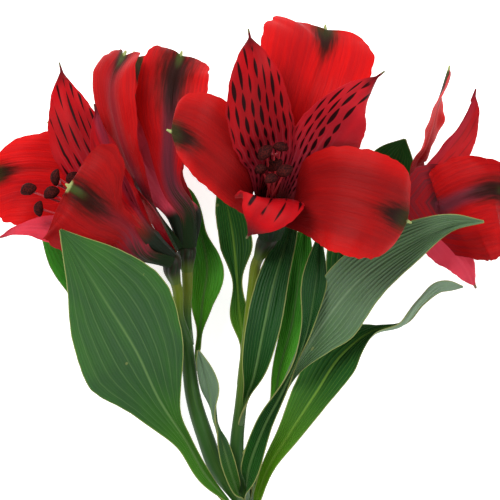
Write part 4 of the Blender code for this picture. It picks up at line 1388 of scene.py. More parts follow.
@dataclass
class Tepal(Form):
    """A tepal leaves the ovary at angle, rises in the throat, and follows its own points to the tip."""

    name: str
    ring: Ring
    angle: float
    points: list[Triple]
    faces: list[Triple]
    halves: Pair
    outline: Outline
    throat_radius: float = 4.4
    throat_height: float = THROAT_HEIGHT
    streaks: StreakStyle = StreakStyle.FULL


def outer(place: str, *shape: object, wide: float = 0.70, rise: float = 1.05, **form: object) -> Tepal:
    """An outer tepal with its broad outline; shape holds its angle, points, faces and halves."""
    outline = Outline(claw=0.02, wide=wide, rise=rise, blunt=2.3, close=0.55)
    return Tepal(f"{place}_outer", OUTER, *shape, outline, **form)


def inner(
    place: str,
    *shape: object,
    wide: float = 0.62,
    rise: float = 1.0,
    blunt: float = 1.6,
    close: float = 1.15,
    **form: object,
) -> Tepal:
    """An inner tepal with its pointed outline; shape is like an outer one's."""
    outline = Outline(claw=0.04, wide=wide, rise=rise, blunt=blunt, close=close)
    return Tepal(f"{place}_inner", INNER, *shape, outline, **form)


@dataclass
class Bloom:
    """A bloom's ovary runs from base to top, and its throat opens along axis. up marks 90 degrees.

    anthers are the six filaments' ends. A filament stands filament_ring from the axis, first on
    the disc and then in the throat. Its anther hangs back from its end, and the anther's bow
    bends it over the filament. The radii follow one another along their pieces.
    """

    name: str
    base: Triple
    top: Triple
    axis: Triple
    up: Triple
    anthers: list[Triple]
    stigma: Triple
    tepals: list[Tepal]
    tepal_rows: int = 96
    tepal_columns: int = 44
    ovary_radii: tuple[float, ...] = (1.65, 2.15, 2.6, 2.85, 2.6)
    disc_radii: Pair = (1.9, 1.7)
    disc_ends: Pair = (-0.3, 1.6)
    seat: float = 0.9
    filament_ring: Pair = (1.15, 1.7)
    filament_radii: tuple[float, ...] = (0.55, 0.48, 0.36, 0.26)
    filament_arch: float = 1.5
    anther_radii: Triple = (1.35, 1.75, 1.3)
    anther_reach: float = 2.3
    anther_bow: float = 0.35
    anther_hang: float = 0.6
    style_radii: Triple = (0.55, 0.45, 0.4)
    arm_radii: Pair = (0.38, 0.26)

    def point(self, angle: float, radius: float, along: float) -> tuple[Array, Array]:
        """A point round the bloom's axis.

        Args:
            angle: round the axis, in degrees.
            radius: from the axis.
            along: height over the ovary's top.

        Returns:
            The point, and its outward direction.
        """
        axis = unit(self.axis)
        up = unit(np.array(self.up, float) - np.dot(self.up, axis) * axis)
        right = np.cross(up, axis)
        outward = math.cos(math.radians(angle)) * right + math.sin(math.radians(angle)) * up
        return np.array(self.top, float) + axis * along + outward * radius, outward

    def lead(self) -> Array:
        """The direction in which the ovary stands on its pedicel."""
        return unit(np.array(self.top, float) - np.array(self.base, float))

    def blade(self, tepal: Tepal) -> Blade:
        """The blade of one tepal, seated on the ovary's rim."""
        ring = tepal.ring
        base, outward = self.point(tepal.angle, ring.seat_radius, ring.seat_height)
        throat, _ = self.point(tepal.angle, tepal.throat_radius + ring.spread, tepal.throat_height)
        axis = unit(self.axis)
        spine = np.array([base, throat, *tepal.points], float)
        throat_at = spine_knots(spine)[1]
        return Blade(
            name=f"{self.name}_tepal_{tepal.name}",
            spine=spine,
            faces=[*(lean * axis - outward for lean in CLAW_LEANS), *tepal.faces],
            face_at=[0, *np.linspace(throat_at, 1, len(tepal.faces) + 1)],
            halves=tepal.halves,
            form=tepal,
            relief=ring.relief,
            outline=tepal.outline,
            neck=ring.neck,
            claw_curl=CLAW_CURL,
        )

    def add_tepals(self, finishes: Finishes) -> None:
        """Builds the six tepals."""
        for tepal in self.tepals:
            blade = self.blade(tepal)
            finish = "Outer tepal" if tepal.ring is OUTER else tepal.streaks.value.name
            skin = blade.skin(self.tepal_rows, self.tepal_columns)
            add_piece(f"{blade.name}_petal", skin, [finishes.made[finish]], blade.name)

    def add_ovary(self, finishes: Finishes) -> None:
        """Builds the ovary: a swelling whose radius grows by six rounded ribs."""

        def ribs(t: Array, angle: Array) -> Array:
            """Six ribs, each the root of a half wave, strongest at mid height."""
            return 0.10 * np.sin(math.pi * t) * (np.abs(np.cos(3 * angle)) ** 0.7 - 0.55)

        base = np.array(self.base, float)
        top = np.array(self.top, float)
        points = np.array([base, (base + top) / 2, top - unit(self.axis), top])
        skin = Tube(points, self.ovary_radii, rows=36, sides=72, swell=ribs).skin()
        name = f"{self.name}_ovary"
        add_piece(f"{name}_body", skin, [finishes.made["Ovary"]], name)

    def stamen(self, number: int, tip: Array) -> list[Skin]:
        """A filament that leaves the disc and bends to its tip, and the two-lobed anther there.

        Args:
            number: which of the six it is, from 0.
            tip: the filament's end.

        Returns:
            The skins of the filament and of the anther.
        """

        def lobes(t: Array, angle: Array) -> Array:
            """Two lobes with a furrow between them."""
            return 0.30 * np.abs(np.cos(angle)) - 0.22 + 0 * t

        angle = 60 * number + 30
        start, _ = self.point(angle, self.filament_ring[0], self.seat)
        throat, _ = self.point(angle, self.filament_ring[1], THROAT_HEIGHT)
        middle = (throat + tip) / 2 + self.filament_arch * unit(self.axis)
        out = unit(tip - middle)
        lean = phases(f"{self.name} anther {number}", 3) - 0.5
        side = unit(np.cross(out, (0.2, 0.1, 1)))
        body = unit(0.5 * out + side * np.sign(lean[0]) + 1.2 * lean)
        reach = (self.anther_reach + lean[1]) * body
        bow = self.anther_bow * out
        center = tip - self.anther_hang * out
        anther = np.array([center - reach - bow, center + bow, center + reach - bow])
        filament = np.array([start, throat, middle, tip])
        return [
            Tube(filament, self.filament_radii, rows=26, sides=12).skin(),
            Tube(anther, self.anther_radii, 24, 24, lobes, 0.5, 0.5, finish=1).skin(),
        ]

    def style(self) -> list[Skin]:
        """The style up the middle of the throat, and the three arms of its stigma."""
        stigma = np.array(self.stigma, float)
        start, _ = self.point(0, 0, self.seat)
        throat, _ = self.point(0, 0, THROAT_HEIGHT)
        style = np.array([start, throat, (throat + stigma) / 2, stigma])
        skins = [Tube(style, self.style_radii, rows=26, sides=12, round_end=0.02).skin()]
        lead = unit(stigma - style[2])
        side = unit(np.cross(lead, (0.3, 0.1, 1)))
        third = np.cross(lead, side)
        for turn in (0, 2.1, 4.2):
            way = math.cos(turn) * side + math.sin(turn) * third
            arm = [stigma - 0.3 * lead, stigma + 0.8 * lead + 0.5 * way, stigma + 1.2 * lead + 1.4 * way]
            skins.append(Tube(np.array(arm), self.arm_radii, rows=10, sides=10, round_end=0.2).skin())
        return skins

    def add_stamens(self, finishes: Finishes) -> None:
        """Builds the disc, the six stamens and the style."""
        disc = np.array([self.point(0, 0, along)[0] for along in self.disc_ends])
        skins = [Tube(disc, self.disc_radii, rows=4, sides=24).skin()]
        for number, tip in enumerate(self.anthers):
            skins += self.stamen(number, np.array(tip, float))
        skins += self.style()
        materials = [finishes.made["Filament"], finishes.made["Anther"]]
        name = f"{self.name}_stamen"
        add_piece(f"{name}_group", joined(skins), materials, f"{name}s")

    def add(self, finishes: Finishes) -> None:
        """Builds the whole bloom."""
        self.add_ovary(finishes)
        self.add_stamens(finishes)
        self.add_tepals(finishes)


# A tepal's look holds the stain's size, the band's strength and its painted light level.
# The center bloom faces up, towards the viewer
CENTER_BLOOM = Bloom(
    "center",
    base=(2.7, -2.1, 35),
    top=(6, 5.4, 43),
    axis=(0.03, 0.62, 0.78),
    up=(0, 1, 0),
    anthers=[(4.5, 29, 77), (9, 30.5, 76), (6, 21, 79), (10.5, 23.5, 78), (7.5, 25.5, 70), (3.5, 24, 74)],
    stigma=(7, 27.5, 72),
    tepals=[
        outer(
            "top", 88,
            [(11, 24.5, 58), (15, 37, 61), (19.5, 51, 60), (22, 59.5, 55), (22.5, 67, 47)],
            [(0, -0.55, 0.84), (0, -0.3, 0.95), (0, 0.1, 1), (0, 0.35, 0.95)],
            (19, 15.5), wide=0.74, flare=20, lobe=(0.66, 0.33), dome=0.85, look=(1.25, 0.75, 0.9),
        ),
        outer(
            "left", 210,
            [(-0.5, 16.5, 62), (-7, 24, 71), (-16, 31.5, 73), (-24.5, 35.5, 66)],
            [(0.35, 0.1, 0.93), (0.1, 0, 1), (-0.15, 0, 1)],
            (8.2, 15.5), wide=0.66, rise=0.8, cup=(12, 12), flare=25, lobe=(-0.1, 0.55),
            dome=0.8, slim=(1.0, 0.7), look=(1.15, 0.75, 0.36),
        ),
        outer(
            "right", 330,
            [(15.5, 15, 64), (26.5, 15.5, 75), (37.5, 12.5, 77), (47.5, 8, 68)],
            [(-0.35, 0.1, 0.93), (-0.05, 0.05, 1), (0.3, 0, 0.95)],
            (15.5, 16.5), cup=(10, 10), flare=25, lobe=(0.15, 0.15),
            look=(1.2, 0.75, 0.36),
        ),
        inner(
            "left", 148,
            [(6, 27, 65), (3.5, 39.5, 77), (2, 51.5, 80), (-0.5, 65, 74)],
            [(0.3, -0.35, 0.9), (0.12, -0.15, 0.98), (0, 0.15, 1)],
            (11.2, 9.0), wide=0.66, rise=1.12, blunt=1.8, close=1.0, keel=(10, 10), cup=(10, 10), flare=20,
            look=(1.0, 0.75, 0.8),
        ),
        inner(
            "right", 32,
            [(16, 25.5, 63), (21.5, 35.5, 74), (28, 43.5, 80), (39.5, 52.5, 75)],
            [(-0.35, -0.3, 0.9), (-0.15, -0.1, 0.98), (0.2, 0, 1)],
            (7.6, 13), wide=0.6, rise=1.6, blunt=1.8, close=1.05, keel=(14, -6), cup=(10, -30),
            streak_edge=0.30, look=(1.0, 0.75, 1.08),
        ),
        inner(
            "bottom", 270,
            [(7, 13.5, 62), (6.5, 15, 72), (5.5, 13.5, 80), (2.5, 9, 80), (-1, 3.5, 73)],
            [(0, 0.9, 0.45), (0, 0.8, 0.6), (0.05, 0.45, 0.9), (-0.1, 0.2, 1), (-0.1, 0, 1)],
            (10, 10.5), wide=0.66, close=1.1, cup=(0, 0), flare=20,
            streaks=StreakStyle.DASHES,
        ),
    ],
)
# The left bloom opens to the left and shows the back of its front tepal
LEFT_BLOOM = Bloom(
    "left",
    base=(-22.3, -9.6, 41),
    top=(-24.3, -2, 46),
    axis=(-0.74, 0.55, 0.38),
    up=(0, 0.6, -1),
    anthers=[
        (-58, 22, 58), (-66.5, 18, 56), (-59.5, 17, 58),
        (-63, 12.5, 57), (-53, 21.5, 52), (-54.5, 15.5, 56),
    ],
    stigma=(-56, 19, 52),
    tepals=[
        outer(
            "front", 255,
            [(-35.6, 5.6, 56), (-44, 11.8, 62), (-50.2, 16.8, 64), (-54.5, 19.5, 62)],
            [(-0.3, 0.1, -1), (-0.2, 0.1, -1), (-0.1, 0.2, -1), (0, 0.1, -1)],
            (17, 17.5), wide=0.86, rise=0.95, cup=(2, 10), flare=20, lobe=(0.1, 0.1),
            slim=(7.0, 0.68), look=(1.4, 0.30, 0.40), throat_radius=5.0,
        ),
        outer(
            "far", 140,
            [(-45, 20.5, 42), (-58.5, 24.0, 43), (-69.5, 24, 43), (-79.5, 21.5, 39)],
            [(0.1, -0.35, 1), (0.1, -0.1, 1), (-0.2, 0, 1)],
            (17, 11), flare=20, lobe=(0.5, -0.15), look=(0.95, 0.75, 0.95),
        ),
        outer(
            "back", 44,
            [(-38, 19, 35), (-46.5, 31, 32), (-54, 37, 30), (-61, 38.5, 25)],
            [(-0.4, -0.5, 0.8), (-0.2, -0.3, 0.9), (-0.1, 0, 1)],
            (10, 7), throat_radius=7.0,
        ),
        inner(
            "top", 90,
            [(-40.5, 18, 48), (-48, 30, 50), (-53.5, 43, 48), (-57, 56, 42)],
            [(-0.25, -0.3, 0.92), (-0.1, -0.1, 1), (-0.1, 0.2, 1)],
            (10.4, 7.8), wide=0.62, blunt=1.7, keel=(8, 8),
            streaks=StreakStyle.LONG, pitch=1.9,
        ),
        inner(
            "low", 204,
            [(-43, 5.5, 50), (-56, 6, 52), (-67.5, 6.5, 50), (-75.5, 3.5, 45)],
            [(0.1, 0.8, 0.6), (0.1, 0.8, 0.6), (-0.1, 0.6, 0.8)],
            (7, 7), cup=(5, 5),
            streaks=StreakStyle.PLAIN, look=(1.0, 0.3, 1.45),
        ),
        inner(
            "side", 322,
            [(-35.5, 14.9, 48.5), (-41, 26.7, 54), (-44.3, 35.6, 55), (-46.3, 43.4, 52)],
            [(-0.6, -0.2, -0.6), (-0.6, -0.2, -0.8), (-0.5, 0, -0.9)],
            (4.6, 7.6), wide=0.6, rise=0.8, blunt=1.7, close=1.1, throat_radius=5.2,
        ),
    ],
)
# The upright bloom stands between and behind those two
UPRIGHT_BLOOM = Bloom(
    "upright",
    base=(-18.9, -6.6, 30),
    top=(-19.2, 1.5, 31),
    axis=(-0.18, 0.98, -0.02),
    up=(0, 0, -1),
    anthers=[
        (-33, 39, 25), (-35, 41.5, 24.5), (-32, 44, 23),
        (-34.5, 37.5, 23), (-31.5, 40, 22.5), (-33.5, 46, 21),
    ],
    stigma=(-33, 42.5, 22),
    tepals=[
        outer(
            "right", 300,
            [(-23, 18, 37), (-24.2, 36, 42), (-23.2, 49.5, 40), (-20.5, 59.5, 32)],
            [(0.1, 0, -1), (0.1, 0.1, -1), (0.1, 0.3, -1)],
            (11, 10.5), rise=1.9, cup=(10, 10), flare=15, lobe=(0.7, 1.1),
            dome=0.8, slim=(2.6, 2.3), look=(2.0, 0.9, 0.95),
        ),
        outer(
            "left", 200,
            [(-32, 17.5, 40), (-38.9, 34.5, 46), (-41.2, 49, 45), (-37.2, 59.5, 38)],
            [(0.7, -0.2, -0.6), (0.7, -0.2, -0.6), (0.6, 0.1, -0.7)],
            (9.6, 7.2), wide=0.8, lobe=(0.6, 1.8), dome=0.9, slim=(2.0, 0.45),
            throat_radius=7.0, look=(1.0, 0.35, 0.66),
        ),
        outer(
            "back", 75,
            [(-27, 21, 17), (-31.5, 42.5, 8), (-34, 54.5, 3), (-35.5, 60.6, 0.6)],
            [(0, 0, 1), (0, -0.1, 1), (0, -0.1, 1)],
            (12, 12), lobe=(0.2, 0.2),
        ),
        inner(
            "left", 250,
            [(-26.5, 18, 34), (-35, 33, 33), (-39.5, 43.5, 32), (-42, 53.5, 29)],
            [(0.6, 0.1, -0.8), (0.6, 0.1, -0.8), (0.5, 0.2, -0.8)],
            (6, 9), streaks=StreakStyle.PLAIN, look=(1.0, 0.1, 2.2),
        ),
        inner(
            "right", 5,
            [(-25, 19.5, 34), (-30, 33, 36), (-29.5, 47, 34), (-27, 58.5, 27)],
            [(-0.6, 0, 0.8), (-0.5, 0, 0.8), (-0.3, -0.1, 1)],
            (7, 6.5), rise=1.7, throat_radius=5.6,
            streaks=StreakStyle.PLAIN, look=(1.0, 0.1, 1.7),
        ),
        inner(
            "back", 130,
            [(-28.5, 18, 25), (-35, 31.5, 21), (-38.5, 42.5, 17), (-40, 57, 12)],
            [(0.4, 0, 1), (0.4, 0, 1), (0.3, -0.1, 1)],
            (7, 7),
        ),
    ],
)
# The right bloom turns away to the right
RIGHT_BLOOM = Bloom(
    "right",
    base=(44.3, 4.2, 26),
    top=(47.6, 11.4, 28),
    axis=(0.72, 0.66, -0.12),
    up=(0, 0.2, 1),
    anthers=[
        (66, 24.5, 28), (69.5, 22.5, 26), (65.5, 20, 25),
        (69.5, 25.5, 25), (63, 23.5, 28), (67.5, 18.5, 29),
    ],
    stigma=(67, 22.5, 23),
    tepals=[
        outer(
            "top", 10,
            [
                (49.9, 25.6, 30), (52.6, 30.1, 31), (54.7, 36.1, 32),
                (56.3, 43, 32.5), (58.2, 48.5, 31.5), (60, 55.5, 29),
            ],
            [
                (0.9, -0.35, 0.36), (0.9, -0.35, 0.27), (0.92, -0.3, 0.24),
                (0.93, -0.3, 0.22), (0.95, -0.15, -0.1), (0.9, 0, -0.4),
            ],
            (7.5, 7.5),
        ),
        outer(
            "front", 130,
            [(57, 13, 38), (64, 16, 43), (72, 18, 44), (80, 17, 39)],
            [(0.3, 0.2, -1), (0.2, 0.1, -1), (0, 0.3, -1)],
            (21, 12), wide=0.6, rise=0.95, flare=20, lobe=(0.3, -0.3), look=(1.3, 0.8, 0.6),
        ),
        outer(
            "back", 240,
            [(60, 14, 12), (68, 17.5, 5), (73, 20.5, 1.7), (77, 22.5, 0.8)],
            [(-0.2, 0, 1), (-0.1, 0, 1), (0, 0, 1)],
            (7, 11),
        ),
        inner(
            "top", 70,
            [(52.4, 22.5, 36), (58, 30.1, 38), (62.8, 36.3, 38), (65.6, 41.3, 37), (67.8, 48.3, 33)],
            [(0.4, -0.3, -0.8), (0.4, -0.2, -0.8), (0.4, -0.1, -0.8), (0.3, 0.2, -0.9)],
            (7.5, 1.0), wide=0.6,
            streaks=StreakStyle.LONG, pitch=1.9, look=(1.0, 0.45, 1.0),
        ),
        inner(
            "low", 190,
            [(57, 5.5, 31), (61.5, -0.5, 32), (65.5, -6, 31), (68, -11.5, 28)],
            [(0.3, 0.5, 0.8), (0.3, 0.4, 0.8), (0.3, 0.2, 0.9)],
            (6, 9), wide=0.46, blunt=1.2, close=0.8, cup=(5, 5), slim=(1, 0.5), throat_radius=4,
            throat_height=4, streaks=StreakStyle.PLAIN, look=(1.0, 0.1, 1.65),
        ),
        inner(
            "back", 307,
            [(59, 18.5, 22), (66, 19.5, 18), (73.5, 18, 14)],
            [(-0.2, 0.3, 1), (-0.1, 0.2, 1), (0, 0, 1)],
            (6, 6), cup=(5, 5), throat_radius=4,
        ),
    ],
)


# The stalks


@dataclass
class Shoot:
    """A stretch of stalk. seat names the bloom whose ovary stands on its end.

    Below that ovary the stalk runs straight for straight, and it sinks into it by sink.
    """

    name: str
    points: list[Triple]
    radii: list[float]
    rows: int
    seat: str | None = None
    straight: float = 3.0
    sink: float = 0.4

    def spine(self, blooms: dict[str, Bloom]) -> Array:
        """The shoot's points, with the last two leading straight into its ovary."""
        points = [np.array(point, float) for point in self.points]
        if self.seat:
            bloom = blooms[self.seat]
            base = np.array(bloom.base, float)
            points += [base - self.straight * bloom.lead(), base + self.sink * bloom.lead()]
        return np.array(points)


# All three rays start in the top of the stem
FORK = (-2, -75.5, 22)
SHOOTS = [
    Shoot(
        "stem",
        [(-4, -69.5, 22), (-2, -77, 21), (-1, -94, 16), (0, -124.5, 9), (0, -155.5, 5), (0, -192, 3.05)],
        [2.6, 3.0, 3.0],
        110,
    ),
    Shoot(
        "left_ray",
        [
            FORK, (-10.2, -65, 26), (-13.4, -56.5, 29), (-17, -44.5, 31.5),
            (-18.6, -32, 33), (-19.4, -24, 33),
        ],
        [2.8, 2.5, 1.8],
        60,
    ),
    Shoot("left_pedicel", [(-18.4, -28.5, 33), (-21.3, -19.5, 36)], [1.6, 1.5, 1.6], 36, "left"),
    Shoot("upright_pedicel", [(-18.4, -28.5, 32), (-19.1, -20, 31)], [1.6, 1.5, 1.6], 36, "upright"),
    Shoot(
        "center_ray",
        [FORK, (-4, -61.5, 26), (-2.6, -45, 28), (-0.6, -24, 30), (0.9, -10.5, 32)],
        [2.6, 1.9, 1.5, 1.6],
        80,
        "center",
    ),
    Shoot(
        "right_ray",
        [
            (-1, -75.5, 20), (4.2, -68.2, 17), (9.5, -59.8, 14.5), (14.5, -50.5, 13),
            (20.5, -35, 13), (32, -11, 16.5), (40, 0, 22),
        ],
        [2.0, 1.5, 1.3, 1.6],
        90,
        "right",
    ),
]


@dataclass
class Stalks:
    """The main stem from its cut end, with three rays and the two pedicels of the left ray."""

    blooms: dict[str, Bloom]
    shoots: dict[str, Shoot]
    sides: int = 28
    cut_rings: int = 5

    def add(self, finishes: Finishes) -> None:
        """Builds the stalks as one piece."""

        def ridges(t: Array, angle: Array) -> Array:
            """Faint ridges that run along a stalk, turning a little."""
            return 0.018 * np.cos(9 * angle + 2 * t) + 0.012 * np.cos(14 * angle - 3 * t)

        skins = []
        for shoot in self.shoots.values():
            cut = self.cut_rings if shoot.name == "stem" else 0
            spine = shoot.spine(self.blooms)
            skin = Tube(spine, shoot.radii, shoot.rows, self.sides, swell=ridges, cut_rings=cut).skin()
            skin.traits["place"][:, 2] = 1 if shoot.seat else 0
            skins.append(skin)
        materials = [finishes.made["Stalk"], finishes.made["Cut end"]]
        add_piece("stalks", joined(skins), materials, "stem")


# The leaves

LEAF_RELIEF = Relief(ruffle=0.35, waves=2.2, scallop=0.010, roll=0.6, groove=0.22, keel_rib=0.35)


@dataclass
class Leaf(Form):
    """A leaf sits on a shoot at a height, on the side that angle gives: 0 right, 90 up, 180 left.

    left and right are its half widths at width_at, or else at even shares of its length. Its foot
    lies foot_depth under the shoot's surface and turns up a little, by foot_rise.
    """

    name: str
    shoot: str
    height: float
    angle: float
    points: list[Triple]
    faces: list[Triple]
    left: list[float]
    right: list[float]
    width_at: list[float] | None = None
    # The finish; the default fresh green is partly painted light.
    tone: LeafTone = LeafTone.FRESH_PAINTED_LIGHT
    pleat: float = 0.10
    foot_depth: float = 0.5
    foot_rise: float = 0.05
    shoot_samples: int = 400
    rows: int = 100
    columns: int = 56

    def blade(self, stalks: Stalks) -> Blade:
        """The leaf's blade, which starts on the shoot's surface."""
        shoot = stalks.shoots[self.shoot]
        t = np.linspace(0, 1, self.shoot_samples)
        middle, ahead = along_spine(shoot.spine(stalks.blooms), t)
        nearest = np.argmin(abs(middle[:, 1] - self.height))
        angle = math.radians(self.angle)
        outward = np.array([math.cos(angle), 0, math.sin(angle)])
        outward = unit(outward - outward.dot(ahead[nearest]) * ahead[nearest])
        radius = np.interp(t[nearest], np.linspace(0, 1, len(shoot.radii)), shoot.radii)
        foot = middle[nearest] + outward * (radius - self.foot_depth)
        faces = [np.array([0, 0, self.foot_rise]) - outward, *self.faces]
        return Blade(
            name=self.name,
            spine=np.array([foot, *self.points], float),
            faces=faces,
            face_at=list(np.linspace(0, 1, len(faces))),
            halves=(self.left, self.right),
            form=self,
            relief=replace(LEAF_RELIEF, pleat=self.pleat, pleats=self.tone.value.pleats),
            width_at=self.width_at,
            crowding=1.1,
        )

    def add(self, stalks: Stalks, finishes: Finishes) -> None:
        """Builds the leaf."""
        skin = self.blade(stalks).skin(self.rows, self.columns)
        add_piece(f"{self.name}_blade", skin, [finishes.made[self.tone.value.name]], self.name)


LEAVES = [
    Leaf(
        "leaf_big_left", "stem", -78.5, 150,
        [
            (-13.5, -67.5, 31), (-19, -57.5, 36), (-27, -45, 43), (-34, -30, 51),
            (-43, -15, 59), (-51, -2, 65), (-56, 6, 66),
        ],
        [(0.3, -0.2, 1), (0.25, 0.1, 1), (0.2, 0.1, 1), (0.1, 0.1, 1)],
        [1.2, 3.0, 3.6, 5.8, 9.2, 18.2, 15.2, 7.2, 0.4],
        [1.2, 1.8, 1.9, 3.2, 8.2, 15.2, 18.0, 11.4, 0.4],
        [0, 0.16, 0.28, 0.35, 0.43, 0.57, 0.73, 0.87, 1],
        tone=LeafTone.GREY,
    ),
    Leaf(
        "leaf_back_left", "stem", -80.5, 208,
        [
            (-13, -68.5, 17), (-21, -56, 13.5), (-29, -41.5, 11),
            (-41, -22, 9), (-53, -2.5, 10), (-64.5, 13.5, 14),
        ],
        [(0.3, 0, 1), (0, 0, 1), (0, 0, 1), (0, 0, 1)],
        [1.2, 2.0, 3.0, 5.6, 8.0, 7.6, 7.6, 0.4],
        [1.2, 1.4, 1.6, 5, 10, 12, 8, 0.4],
    ),
    Leaf(
        "leaf_behind_upright", "left_ray", -36.5, 350,
        [(-15.4, -27, 23), (-14.4, -16, 18.5), (-13, -5, 15), (-15.8, 7, 12), (-23.5, 22.5, 9)],
        [(0.3, 0.1, 1), (0, 0, 1), (-0.1, 0, 1), (-0.1, 0, 1)],
        [0.9, 0.9, 0.9, 3.4, 4.4, 4.4, 5, 3, 0.4],
        [0.9, 0.9, 0.9, 3.0, 5.2, 4.4, 2.2, 3, 0.4],
        [0, 0.15, 0.23, 0.35, 0.52, 0.58, 0.68, 0.9, 1],
    ),
    Leaf(
        "leaf_small_twisted", "stem", -76.5, 103,
        [(-6, -66, 33), (-8.5, -57.5, 34), (-10.5, -51, 35), (-12, -42, 36), (-15.5, -30, 38)],
        [(0.3, 0, 1), (0.4, 0, 1), (1, 0, -0.2), (0.4, 0, -1), (0.3, 0, -1)],
        [1.1, 2.0, 2.2, 1.7, 0.7, 1.9, 3.0, 2.5, 0.4],
        [1.1, 2.0, 2.2, 1.7, 0.7, 1.9, 3.0, 2.5, 0.4],
        [0, 0.2, 0.38, 0.47, 0.55, 0.62, 0.74, 0.87, 1],
        tone=LeafTone.PALE,
    ),
    Leaf(
        "leaf_behind_center", "center_ray", -40.5, 200,
        [(-2.2, -27.5, 22), (-3.2, -19, 20), (-4, -7.5, 18), (-5.5, 6.5, 17), (-9, 22, 19)],
        [(0.3, 0, 1), (-0.5, 0, 0.8), (0.3, 0, 1), (0, 0, 1)],
        [0.9, 0.7, 3.0, 1.7, 4.2, 4.4, 0.4],
        [0.9, 2.6, 3.0, 2.0, 5.6, 5, 0.4],
        tone=LeafTone.BRIGHT,
    ),
    Leaf(
        "leaf_center_dark", "center_ray", -52.5, 65,
        [
            (-1.3, -45.5, 32), (1, -38.5, 36), (4, -24, 38),
            (7, -10.5, 36), (12, 5.5, 31), (14.5, 13.5, 29),
        ],
        [(-0.2, 0, 1), (-0.2, 0, 1), (-0.1, 0, 1), (0, 0, 1), (0, 0, 1)],
        [0.9, 1.6, 4.4, 5.5, 5.5, 4.8, 3.2, 0.4],
        [0.9, 0.9, 3.6, 5.0, 4.8, 3.8, 2.6, 0.4],
        tone=LeafTone.DARK,
    ),
    Leaf(
        "leaf_center_pale", "center_ray", -61.5, 10,
        [
            (7.2, -45.7, 28), (8.7, -36.7, 29), (12.4, -23, 30),
            (14, -13.5, 30), (15.2, -3.5, 29), (17, 10.5, 28),
        ],
        [(0.2, 0, 1), (0.1, 0, 1), (0, 0, 1), (0, 0, 1)],
        [0.9, 0.9, 2.1, 3.0, 3.9, 3.6, 0.4],
        [0.9, 0.9, 2.1, 3.9, 4.2, 3.6, 0.4],
    ),
    Leaf(
        "leaf_right_of_center", "stem", -76, 50,
        [
            (-0.3, -65.5, 33), (4.0, -53.5, 38), (10.6, -40.5, 43),
            (16.2, -27, 48), (19.2, -12.5, 50), (21, 5.5, 46),
        ],
        [(-0.1, -0.1, 1), (0.2, 0, 1), (0.9, 0, 0.6), (0.5, 0, 1), (0, 0, 1)],
        [1.2, 2.6, 2.9, 1.6, 2.6, 4.8, 0.4],
        [1.2, 3.4, 2.2, 1.2, 1.8, 3.4, 0.4],
        tone=LeafTone.DARK,
    ),
    Leaf(
        "leaf_big_right", "stem", -77.5, 20,
        [
            (2.6, -58.5, 26), (9.8, -43, 31), (14.6, -33.5, 38), (22.5, -21, 44),
            (34, -7.5, 51), (47.5, 1.5, 54), (59.5, 7, 54), (69.5, 8.5, 50),
        ],
        [(0.1, 0, 1), (0.1, 0, 1), (0, 0, 1), (0, 0, 1)],
        [1.1, 0.9, 0.8, 2.6, 6.0, 8.2, 8.4, 6.8, 3.6, 0.4],
        [1.1, 0.9, 2.6, 6.3, 9.4, 9.2, 8.0, 5.2, 1.5, 0.4],
        [0, 0.22, 0.39, 0.46, 0.52, 0.6, 0.68, 0.81, 0.92, 1],
        tone=LeafTone.RIBBED,
        pleat=0.17,
    ),
    Leaf(
        "leaf_low_right", "stem", -81.5, 44,
        [
            (6.1, -64.5, 30), (12, -55, 30), (19.5, -43.5, 30), (27.5, -31.5, 32), (37, -24.2, 36),
            (45.5, -22, 38), (51.3, -15.5, 38.5), (56.5, -11.2, 38), (63.8, -11, 36),
        ],
        [
            (0.1, 0, 1), (0.1, 0, 1), (0.05, 0, 1), (0, 0.1, 1),
            (0, 0.35, 0.95), (0.1, 1, 0.15), (0, 0.4, -1), (0, 0.1, -1),
        ],
        [1.2, 1.8, 2.4, 3.8, 6.9, 7.5, 5.4, 3.4, 1.9, 1.3, 1.8, 1.6, 0.3],
        [1.2, 1.5, 1.9, 3.4, 4.9, 6.2, 4.2, 3.0, 1.7, 1.3, 1.9, 1.6, 0.3],
        [0, 0.12, 0.186, 0.293, 0.426, 0.567, 0.63, 0.689, 0.776, 0.861, 0.926, 0.965, 1],
        tone=LeafTone.BRIGHT,
    ),
    Leaf(
        "leaf_behind_right", "stem", -79.5, 322,
        [(5.6, -66, 11), (18.5, -43, 8), (30, -14, 6), (38, 10.5, 8), (43.5, 26, 12), (47, 33.6, 15.5)],
        [(0.1, 0, 1), (0.1, 0, 1), (0, 0, 1)],
        [1.2, 2.4, 5.0, 11.8, 9.0, 5.6, 0.4],
        [1.2, 2.2, 5.5, 8.5, 7.2, 5.0, 0.4],
        [0, 0.25, 0.5, 0.75, 0.9, 0.96, 1],
        tone=LeafTone.BRIGHT,
    ),
]


# The studio


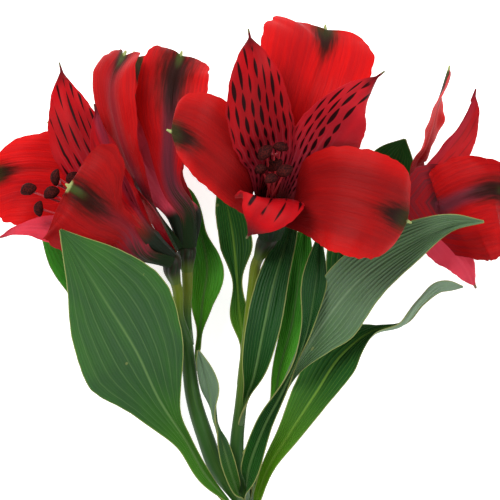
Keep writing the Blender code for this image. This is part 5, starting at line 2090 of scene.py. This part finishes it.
@dataclass
class Studio:
    """A white table under soft light, and a camera that looks straight down on the blooms.

    Its lengths are in metres. The camera sees seen_width at the height seen_height.
    """

    camera_height: float = 2.0
    seen_width: float = 0.150
    seen_height: float = 0.035
    sensor_width: float = 36.0
    table_side: float = 12.0
    table_white: float = 0.92
    table_glow: float = 0.6
    sky: float = 0.55
    lit_point: Triple = (0, 0.06, 0.04)

    def add_object(self, name: str, data: bpy.types.ID) -> bpy.types.Object:
        """A new object of the scene."""
        made = bpy.data.objects.new(name, data)
        bpy.context.scene.collection.objects.link(made)
        return made

    def add_table(self) -> None:
        """A large white sheet at the height of the surface."""
        half = self.table_side / 2
        corners = [(-half, -half, 0), (half, -half, 0), (half, half, 0), (-half, half, 0)]
        mesh = bpy.data.meshes.new("table")
        mesh.from_pydata(corners, [], [(0, 1, 2, 3)])
        white = Material("Table white")
        white.set(
            {
                "Base Color": (self.table_white,) * 3 + (1,),
                "Roughness": 0.9,
                "Specular IOR Level": 0.1,
                "Emission Color": (1, 1, 1, 1),
                "Emission Strength": self.table_glow,
            }
        )
        mesh.materials.append(white.material)
        table = self.add_object("table", mesh)

    def add_light(self, name: str, place: Triple, size: float, power: float) -> None:
        """A square soft light that points at the blooms.

        Args:
            name: the light's name.
            place: where it hangs.
            size: the length of its sides.
            power: in watts.
        """
        light = bpy.data.lights.new(name, "AREA")
        light.size = size
        light.energy = power
        lamp = self.add_object(name, light)
        lamp.location = place
        aim = np.array(self.lit_point) - np.array(place)
        lamp.rotation_mode = "QUATERNION"
        lamp.rotation_quaternion = mathutils.Vector(aim).to_track_quat("-Z", "Y")

    def add_world(self) -> None:
        """An even white sky."""
        world = bpy.data.worlds.new("Sky")
        world.use_nodes = True
        background = world.node_tree.nodes["Background"]
        background.inputs["Color"].default_value = (1, 1, 1, 1)
        background.inputs["Strength"].default_value = self.sky
        bpy.context.scene.world = world

    def add_camera(self) -> None:
        """A long lens over the middle of the blooms."""
        camera = bpy.data.cameras.new("Camera")
        camera.sensor_width = self.sensor_width
        camera.lens = self.sensor_width * (self.camera_height - self.seen_height) / self.seen_width
        camera.clip_start = 0.05
        camera.clip_end = 50
        holder = self.add_object("Camera", camera)
        holder.location = (DRAWING_TO_PART[0] * MM, DRAWING_TO_PART[1] * MM, self.camera_height)
        bpy.context.scene.camera = holder

    def add(self) -> None:
        """Sets up the table, lights, sky and camera."""
        self.add_table()
        self.add_light("Key", place=(-0.55, 0.75, 1.25), size=0.7, power=26)
        self.add_light("Fill", place=(0.9, -0.35, 0.9), size=0.9, power=9)
        self.add_world()
        self.add_camera()
        bpy.context.scene.view_settings.view_transform = "Standard"


def write_sizes() -> None:
    """Brings the view layer up to date."""
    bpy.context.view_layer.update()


def main() -> None:
    """Builds the plant's pieces in order, then the studio."""
    logging.basicConfig(level=logging.INFO, format="%(message)s")
    finishes = Finishes()
    blooms = {bloom.name: bloom for bloom in (CENTER_BLOOM, LEFT_BLOOM, UPRIGHT_BLOOM, RIGHT_BLOOM)}
    stalks = Stalks(blooms, {shoot.name: shoot for shoot in SHOOTS})
    stalks.add(finishes)
    for bloom in blooms.values():
        bloom.add(finishes)
    for leaf in LEAVES:
        leaf.add(stalks, finishes)
    Studio().add()
    write_sizes()


if __name__ == "__main__":
    main()
